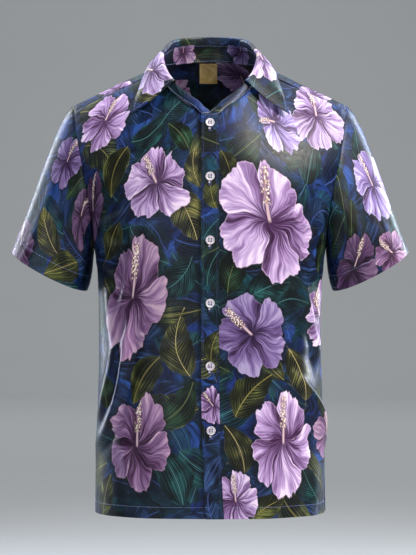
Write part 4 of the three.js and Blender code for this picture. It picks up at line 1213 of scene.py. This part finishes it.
def pearl_button():
    """Cast pearl polyester, turned and polished: milky, with cloudy lilac and cream bands under a gloss."""
    material, t = bare_material("pearl polyester, polished")
    place = node(t, "TexCoord").node.outputs["Object"]
    cloud = node(t, "TexNoise", {"Vector": place, "Scale": 260.0, "Detail": 2.0, "Distortion": 1.2})
    base = node(t, "ValToRGB", (cloud,), stops=(
        (0.25, "A49AB4"), (0.45, "D8CFDA"), (0.6, "EFE9EA"), (0.78, "BEB4CA")))
    shader = node(t, "BsdfPrincipled", {
        "Base Color": base, "Roughness": 0.22, "IOR": 1.54, "Coat Weight": 0.5, "Coat Roughness": 0.1,
        "Subsurface Weight": 0.15, "Subsurface Scale": 0.002})
    node(t, "OutputMaterial", {"Surface": shader})
    return material


def label_satin():
    """Damask-woven satin: golden floats that catch the light in fine bands, worn a little uneven."""
    material, t = bare_material("woven label satin")
    place = node(t, "TexCoord").node.outputs["Object"]
    weft = node(t, "TexWave", {"Vector": place, "Scale": 330.0, "Distortion": 0.6},
                wave_type="BANDS", bands_direction="Z")
    worn = node(t, "TexNoise", {"Vector": place, "Scale": 90.0, "Detail": 3.0})
    tone = node(t, "Math MULTIPLY_ADD", (weft, 0.3, worn))
    base = node(t, "ValToRGB", (tone,), stops=((0.3, "A8843E"), (0.6, "D6B062"), (0.95, "F4DC9A")))
    bump = node(t, "Bump", {"Height": weft, "Strength": 0.25, "Distance": 0.0002})
    shader = node(t, "BsdfPrincipled", {
        "Base Color": base, "Roughness": 0.42, "Sheen Weight": 0.2, "Normal": bump})
    node(t, "OutputMaterial", {"Surface": shader})
    return material


def studio_paper(colour):
    """Matt seamless background paper, very slightly uneven."""
    material, t = bare_material("seamless paper")
    place = node(t, "TexCoord").node.outputs["Object"]
    grain = node(t, "TexNoise", {"Vector": place, "Scale": 3.0, "Detail": 2.0})
    base = node(t, "Mix RGBA", (grain, (*colour, 1.0), (*[c * 0.97 for c in colour], 1.0)))
    shader = node(t, "BsdfPrincipled", {"Base Color": base, "Roughness": 0.9})
    node(t, "OutputMaterial", {"Surface": shader})
    return material


looks = {}


def look(name):
    makers = {
        "leaf": leaf,
        "blossom": blossom,
        "brushwork": brushwork,
        "cloth": printed_cloth,
        "thread": lambda: sewing_thread("spun polyester thread, slate blue", ("5C6AAE", "A0ACD8")),
        "navy_thread": lambda: sewing_thread("spun polyester thread, navy", ("1A2350", "38478A")),
        "white_thread": lambda: sewing_thread("spun polyester thread, white", ("B9B2BE", "E6E0E4")),
        "pearl": pearl_button,
        "label": label_satin,
    }
    if name not in looks:
        looks[name] = makers[name]()
    return looks[name]


# ---- settings a user would change ----
class ShirtClothSettings(bpy.types.PropertyGroup):
    thickness: bpy.props.FloatProperty(
        name="Cloth", description="Thickness of one ply of the cloth", default=0.0009, min=0.0004, max=0.0015,
        unit="LENGTH")
    collar_thickness: bpy.props.FloatProperty(
        name="Collar", description="Thickness of the interlined collar", default=0.0016, min=0.001, max=0.002,
        unit="LENGTH")


class ShirtTrimSettings(bpy.types.PropertyGroup):
    button_radius: bpy.props.FloatProperty(
        name="Button", description="Radius of a button", default=0.007, min=0.005, max=0.0075, unit="LENGTH")
    stitch_pitch: bpy.props.FloatProperty(
        name="Stitch", description="Length of one stitch and its gap", default=0.0034, min=0.002, max=0.006,
        unit="LENGTH")


class ShirtStageSettings(bpy.types.PropertyGroup):
    paper: bpy.props.FloatVectorProperty(
        name="Paper", description="Colour of the floor and backdrop", default=(0.37, 0.387, 0.397), size=3,
        subtype="COLOR", min=0, max=1)
    floor: bpy.props.FloatProperty(
        name="Floor", description="Height of the floor, below the hem", default=-0.98, unit="LENGTH")


class ShirtOperator:
    bl_options = {"REGISTER", "UNDO"}


class SHIRT_OT_fronts(ShirtOperator, bpy.types.Operator):
    """Makes the two fronts"""
    bl_idname = "shirt.fronts"
    bl_label = "Fronts"

    def execute(self, context):
        for name in ("front_right", "front_left"):
            cloth_piece(name, context.scene.shirt_cloth.thickness, hem=BODY_HEM)
        return {"FINISHED"}


class SHIRT_OT_back(ShirtOperator, bpy.types.Operator):
    """Makes the back and its yoke"""
    bl_idname = "shirt.back"
    bl_label = "Back and Yoke"

    def execute(self, context):
        for name, hem in (("back", BODY_HEM), ("yoke", 0)):
            cloth_piece(name, context.scene.shirt_cloth.thickness, hem)
        return {"FINISHED"}


class SHIRT_OT_sleeves(ShirtOperator, bpy.types.Operator):
    """Makes the two sleeves with their turned hems"""
    bl_idname = "shirt.sleeves"
    bl_label = "Sleeves"

    def execute(self, context):
        for name in ("sleeve_left", "sleeve_right"):
            cloth_piece(name, context.scene.shirt_cloth.thickness, hem=SLEEVE_HEM)
        return {"FINISHED"}


class SHIRT_OT_placket(ShirtOperator, bpy.types.Operator):
    """Makes the placket that lies on the left front"""
    bl_idname = "shirt.placket"
    bl_label = "Placket"

    def execute(self, context):
        cloth_piece("placket", context.scene.shirt_cloth.collar_thickness)
        return {"FINISHED"}


class SHIRT_OT_collar(ShirtOperator, bpy.types.Operator):
    """Makes the collar's stand and its leaf"""
    bl_idname = "shirt.collar"
    bl_label = "Collar"

    def execute(self, context):
        for name in ("collar_stand", "collar_leaf"):
            cloth_piece(name, context.scene.shirt_cloth.collar_thickness)
        return {"FINISHED"}


class SHIRT_OT_label(ShirtOperator, bpy.types.Operator):
    """Makes the plain label inside the yoke"""
    bl_idname = "shirt.label"
    bl_label = "Label"

    def execute(self, context):
        x = LABEL_MIDDLE_X + np.linspace(LABEL_HALF, -LABEL_HALF, 13)
        rows = []
        for down in np.linspace(LABEL_TOP, LABEL_BOTTOM, 21):
            reach, facing = line_from(points_of("yoke"), False, down, "top")
            order = np.argsort(reach[:, 0])
            behind = order[reach[order, 1] > 0]
            place, normal = (np.stack([np.interp(x, reach[behind, 0], values[behind, k]) for k in range(3)], -1)
                             for values in (reach, facing))
            rows.append(place - normal * LABEL_INSET)
        verts, faces, _, _ = shell_of(np.array(rows)[::-1], False, LABEL_THICK)
        piece = put_piece("label_satin", verts, faces, look("label"))
        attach(piece, "root")
        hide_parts("label")
        return {"FINISHED"}


class SHIRT_OT_buttons(ShirtOperator, bpy.types.Operator):
    """Turns one button and copies it down the placket"""
    bl_idname = "shirt.buttons"
    bl_label = "Buttons"

    def execute(self, context):
        radius = context.scene.shirt_trim.button_radius
        bpy.ops.object.select_all(action="DESELECT")
        bpy.ops.mesh.primitive_cylinder_add(vertices=48, radius=radius, depth=BUTTON_THICK,
                                            location=(0, 0, BUTTON_THICK / 2))
        blank = context.object
        bpy.ops.object.mode_set(mode="EDIT")
        bpy.ops.mesh.select_mode(type="FACE")
        select_only(blank.data, "faces", lambda face: face.normal.z > 0.9)
        bpy.ops.mesh.inset(thickness=BUTTON_RIM)
        bpy.ops.mesh.inset(thickness=BUTTON_STEP, depth=-BUTTON_DISH)
        bpy.ops.object.mode_set(mode="OBJECT")
        rounding = blank.modifiers.new("rounding", "BEVEL")
        rounding.width = BUTTON_ROUNDING
        rounding.segments = 3
        rounding.limit_method = "ANGLE"
        rounding.angle_limit = math.radians(25)
        bpy.ops.object.modifier_apply(modifier="rounding")
        for across, up in ((1, 1), (-1, 1), (-1, -1), (1, -1)):
            bpy.ops.object.select_all(action="DESELECT")
            bpy.ops.mesh.primitive_cylinder_add(
                vertices=16, radius=BUTTON_HOLE_RADIUS, depth=0.006,
                location=(across * BUTTON_HOLE_PLACE, up * BUTTON_HOLE_PLACE, 0.001))
            drill = context.object
            bpy.ops.object.select_all(action="DESELECT")
            context.view_layer.objects.active = blank
            cut = blank.modifiers.new("hole", "BOOLEAN")
            cut.object = drill
            cut.solver = "EXACT"
            bpy.ops.object.modifier_apply(modifier="hole")
            bpy.data.objects.remove(drill)
        blank.data.shade_smooth()
        blank.data.set_sharp_from_angle(angle=math.radians(35))
        blank.data.materials.clear()
        blank.data.materials.append(look("pearl"))
        threads = []
        for number, z in enumerate(BUTTON_HEIGHTS, 1):
            at, across, up, outward = button_place(z)
            button = bpy.data.objects.new(f"button_{number}_pearl", blank.data.copy())
            context.scene.collection.objects.link(button)
            place = np.stack([across, up, outward, at * MM], -1).tolist()
            button.data.transform(Matrix([*place, (0, 0, 0, 1)]))
            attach(button, "root")
            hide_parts(f"button_{number}")
            for side in (-THREAD_SPREAD, THREAD_SPREAD):
                spots = np.array([at + across * side + outward * 1.8])
                threads.append((spots, np.array([up]), np.array([outward]), 4.4, 0.42))
        bpy.data.objects.remove(blank)
        sewn("button_thread", threads, look("navy_thread"))
        return {"FINISHED"}


def button_place(z):
    """A button's back on the placket, with the directions across, up and out."""
    x = placket_x(z)
    at, above, below = (body_point(x, z + shift, False) for shift in (0, 8, -8))
    up = (above - below) / np.linalg.norm(above - below)
    outward = np.cross([1, 0, 0], up)
    outward /= np.linalg.norm(outward)
    stand = 1.5 * CLOTH + 2 * SEAM_GAP + float(body_fold(at, False))
    return at + outward * stand, np.array([1.0, 0, 0]), up, outward


class SHIRT_OT_sewing(ShirtOperator, bpy.types.Operator):
    """Sews the seams, hems and collar, and works the buttonholes"""
    bl_idname = "shirt.sewing"
    bl_label = "Sewing"

    def execute(self, context):
        pitch = context.scene.shirt_trim.stitch_pitch / MM
        sewn("topstitching", [seam_line(pitch, *row) for row in TOPSTITCHING], look("thread"))
        sewn("placket_stitching", [seam_line(pitch, *row) for row in PLACKET_STITCHING], look("navy_thread"))
        runs, tails = [], []
        for z in BUTTON_HEIGHTS:
            at, across, up, outward = button_place(z - 5.5)
            surface = at - outward * (1.5 * CLOTH + 2 * SEAM_GAP - 2.35)
            for side in (-1.3, 1.3):
                steps = np.arange(-8.5, 8.6, 0.62)
                spots = surface + across * side + up * steps[:, None]
                ways = np.broadcast_to(across, spots.shape)
                runs.append((spots, ways, np.broadcast_to(outward, spots.shape), 2.0, 0.34))
            for end, bars, reach in ((9.2, runs, 0.0), (-3.6, tails, -1.2)):
                steps = np.arange(-1.1, 1.11, 0.55)
                spots = surface + up * (end + steps[:, None]) + across * reach
                ways = np.broadcast_to(across, spots.shape)
                bars.append((spots, ways, np.broadcast_to(outward, spots.shape), 3.4, 0.42))
        sewn("buttonholes", runs, look("navy_thread"))
        sewn("buttonhole_tails", tails, look("white_thread"))
        return {"FINISHED"}


class SHIRT_OT_stage(ShirtOperator, bpy.types.Operator):
    """Sets the paper, the lights and the camera"""
    bl_idname = "shirt.stage"
    bl_label = "Stage"

    def execute(self, context):
        stage = context.scene.shirt_stage
        bpy.ops.object.select_all(action="DESELECT")
        bpy.ops.mesh.primitive_plane_add(size=2, location=(0, 0, stage.floor))
        paper = context.object
        paper.name = "seamless_paper"
        bpy.ops.object.mode_set(mode="EDIT")
        bpy.ops.mesh.select_mode(type="VERT")
        bpy.ops.mesh.select_all(action="SELECT")
        bpy.ops.transform.resize(value=(PAPER_HALF_WIDTH, PAPER_HALF_DEPTH, 1))
        bpy.ops.mesh.select_mode(type="EDGE")
        far = PAPER_HALF_DEPTH - 1
        select_only(paper.data, "edges", lambda line: all(corner.co.y > far for corner in line.verts))
        bpy.ops.mesh.extrude_region_move(TRANSFORM_OT_translate={"value": (0, 0, PAPER_RISE)})
        select_only(paper.data, "edges",
                    lambda line: all(corner.co.y > far and corner.co.z < 1 for corner in line.verts))
        bpy.ops.mesh.bevel(offset=PAPER_BEND, segments=24, affect="EDGES")
        bpy.ops.object.mode_set(mode="OBJECT")
        bpy.ops.object.select_all(action="DESELECT")
        paper.select_set(True)
        context.view_layer.objects.active = paper
        bpy.ops.object.transform_apply(location=True, rotation=True, scale=True)
        paper.data.shade_smooth()
        paper.data.materials.append(studio_paper(stage.paper))
        lamps = (  # name, place, aims at, width, height, watts, colour
            ("key", (2.0, -1.7, 1.9), (0, 0, -0.3), 1.5, 1.5, 148, "FFF8F2"),
            ("fill", (-1.2, -3.0, 0.4), (0, 0, -0.4), 1.4, 1.4, 21, "E6EEFF"),
            ("rim_left", (-1.3, 0.8, 0.2), (-0.15, 0, -0.3), 0.15, 1.7, 40, "EAF2FF"),
            ("rim_right", (1.3, 0.8, 0.2), (0.15, 0, -0.3), 0.15, 1.7, 40, "EAF2FF"),
            ("top", (0, 0.3, 1.6), (0, 0, -0.2), 1.2, 0.6, 30, "F4F8FF"),
            ("backdrop", (0, 5.0, 6.0), (0, 9.0, -1.0), 6.0, 2.0, 420, "FFFFFF"),
        )
        for name, place, aim, width, height, watts, colour in lamps:
            lamp = bpy.data.lights.new(name, "AREA")
            lamp.shape = "RECTANGLE"
            lamp.size = width
            lamp.size_y = height
            lamp.energy = watts
            lamp.color = linear(colour)[:3]
            holder = bpy.data.objects.new(name, lamp)
            holder.location = place
            holder.visible_camera = False
            holder.rotation_euler = (Vector(aim) - Vector(place)).to_track_quat("-Z", "Y").to_euler()
            context.scene.collection.objects.link(holder)
        world = bpy.data.worlds.new("studio")
        world.use_nodes = True
        sky = world.node_tree.nodes["Background"].inputs
        sky["Color"].default_value = linear("DDE4EA")
        sky["Strength"].default_value = 0.15
        context.scene.world = world
        camera = bpy.data.objects.new("camera", bpy.data.cameras.new("camera"))
        camera.data.sensor_width = 36
        camera.data.lens = camera.data.sensor_width * FOCAL_PIXELS / PHOTO_PIXELS_HIGH
        camera.data.clip_end = 50
        camera.location = CAMERA_PLACE
        camera.rotation_euler = (math.radians(90), 0, 0)
        context.scene.collection.objects.link(camera)
        context.scene.camera = camera
        context.scene.view_settings.view_transform = "Standard"
        return {"FINISHED"}


class SHIRT_PT_sidebar(bpy.types.Panel):
    """Lists the shirt's pieces and settings"""
    bl_idname = "SHIRT_PT_sidebar"
    bl_label = "Hawaiian Shirt"
    bl_space_type = "VIEW_3D"
    bl_region_type = "UI"
    bl_category = "Shirt"

    def draw(self, context):
        scene = context.scene
        for settings, names in ((scene.shirt_cloth, ("thickness", "collar_thickness")),
                                (scene.shirt_trim, ("button_radius", "stitch_pitch")),
                                (scene.shirt_stage, ("paper", "floor"))):
            for name in names:
                self.layout.prop(settings, name)
        for step in STEPS:
            self.layout.operator(step.bl_idname)


STEPS = (SHIRT_OT_fronts, SHIRT_OT_back, SHIRT_OT_sleeves, SHIRT_OT_placket, SHIRT_OT_collar, SHIRT_OT_label,
         SHIRT_OT_buttons, SHIRT_OT_sewing, SHIRT_OT_stage)
SETTINGS = (("shirt_cloth", ShirtClothSettings), ("shirt_trim", ShirtTrimSettings),
            ("shirt_stage", ShirtStageSettings))


def register():
    for _, settings in SETTINGS:
        bpy.utils.register_class(settings)
    for step in STEPS:
        bpy.utils.register_class(step)
    bpy.utils.register_class(SHIRT_PT_sidebar)
    for name, settings in SETTINGS:
        setattr(bpy.types.Scene, name, bpy.props.PointerProperty(type=settings))


def unregister():
    for name, _ in SETTINGS:
        delattr(bpy.types.Scene, name)
    bpy.utils.unregister_class(SHIRT_PT_sidebar)
    for step in reversed(STEPS):
        bpy.utils.unregister_class(step)
    for _, settings in SETTINGS:
        bpy.utils.unregister_class(settings)


def main():
    register()
    bpy.ops.shirt.fronts()
    bpy.ops.shirt.back()
    bpy.ops.shirt.sleeves()
    bpy.ops.shirt.placket()
    bpy.ops.shirt.collar()
    bpy.ops.shirt.label()
    bpy.ops.shirt.buttons()
    bpy.ops.shirt.sewing()
    bpy.ops.shirt.stage()


if __name__ == "__main__":
    main()
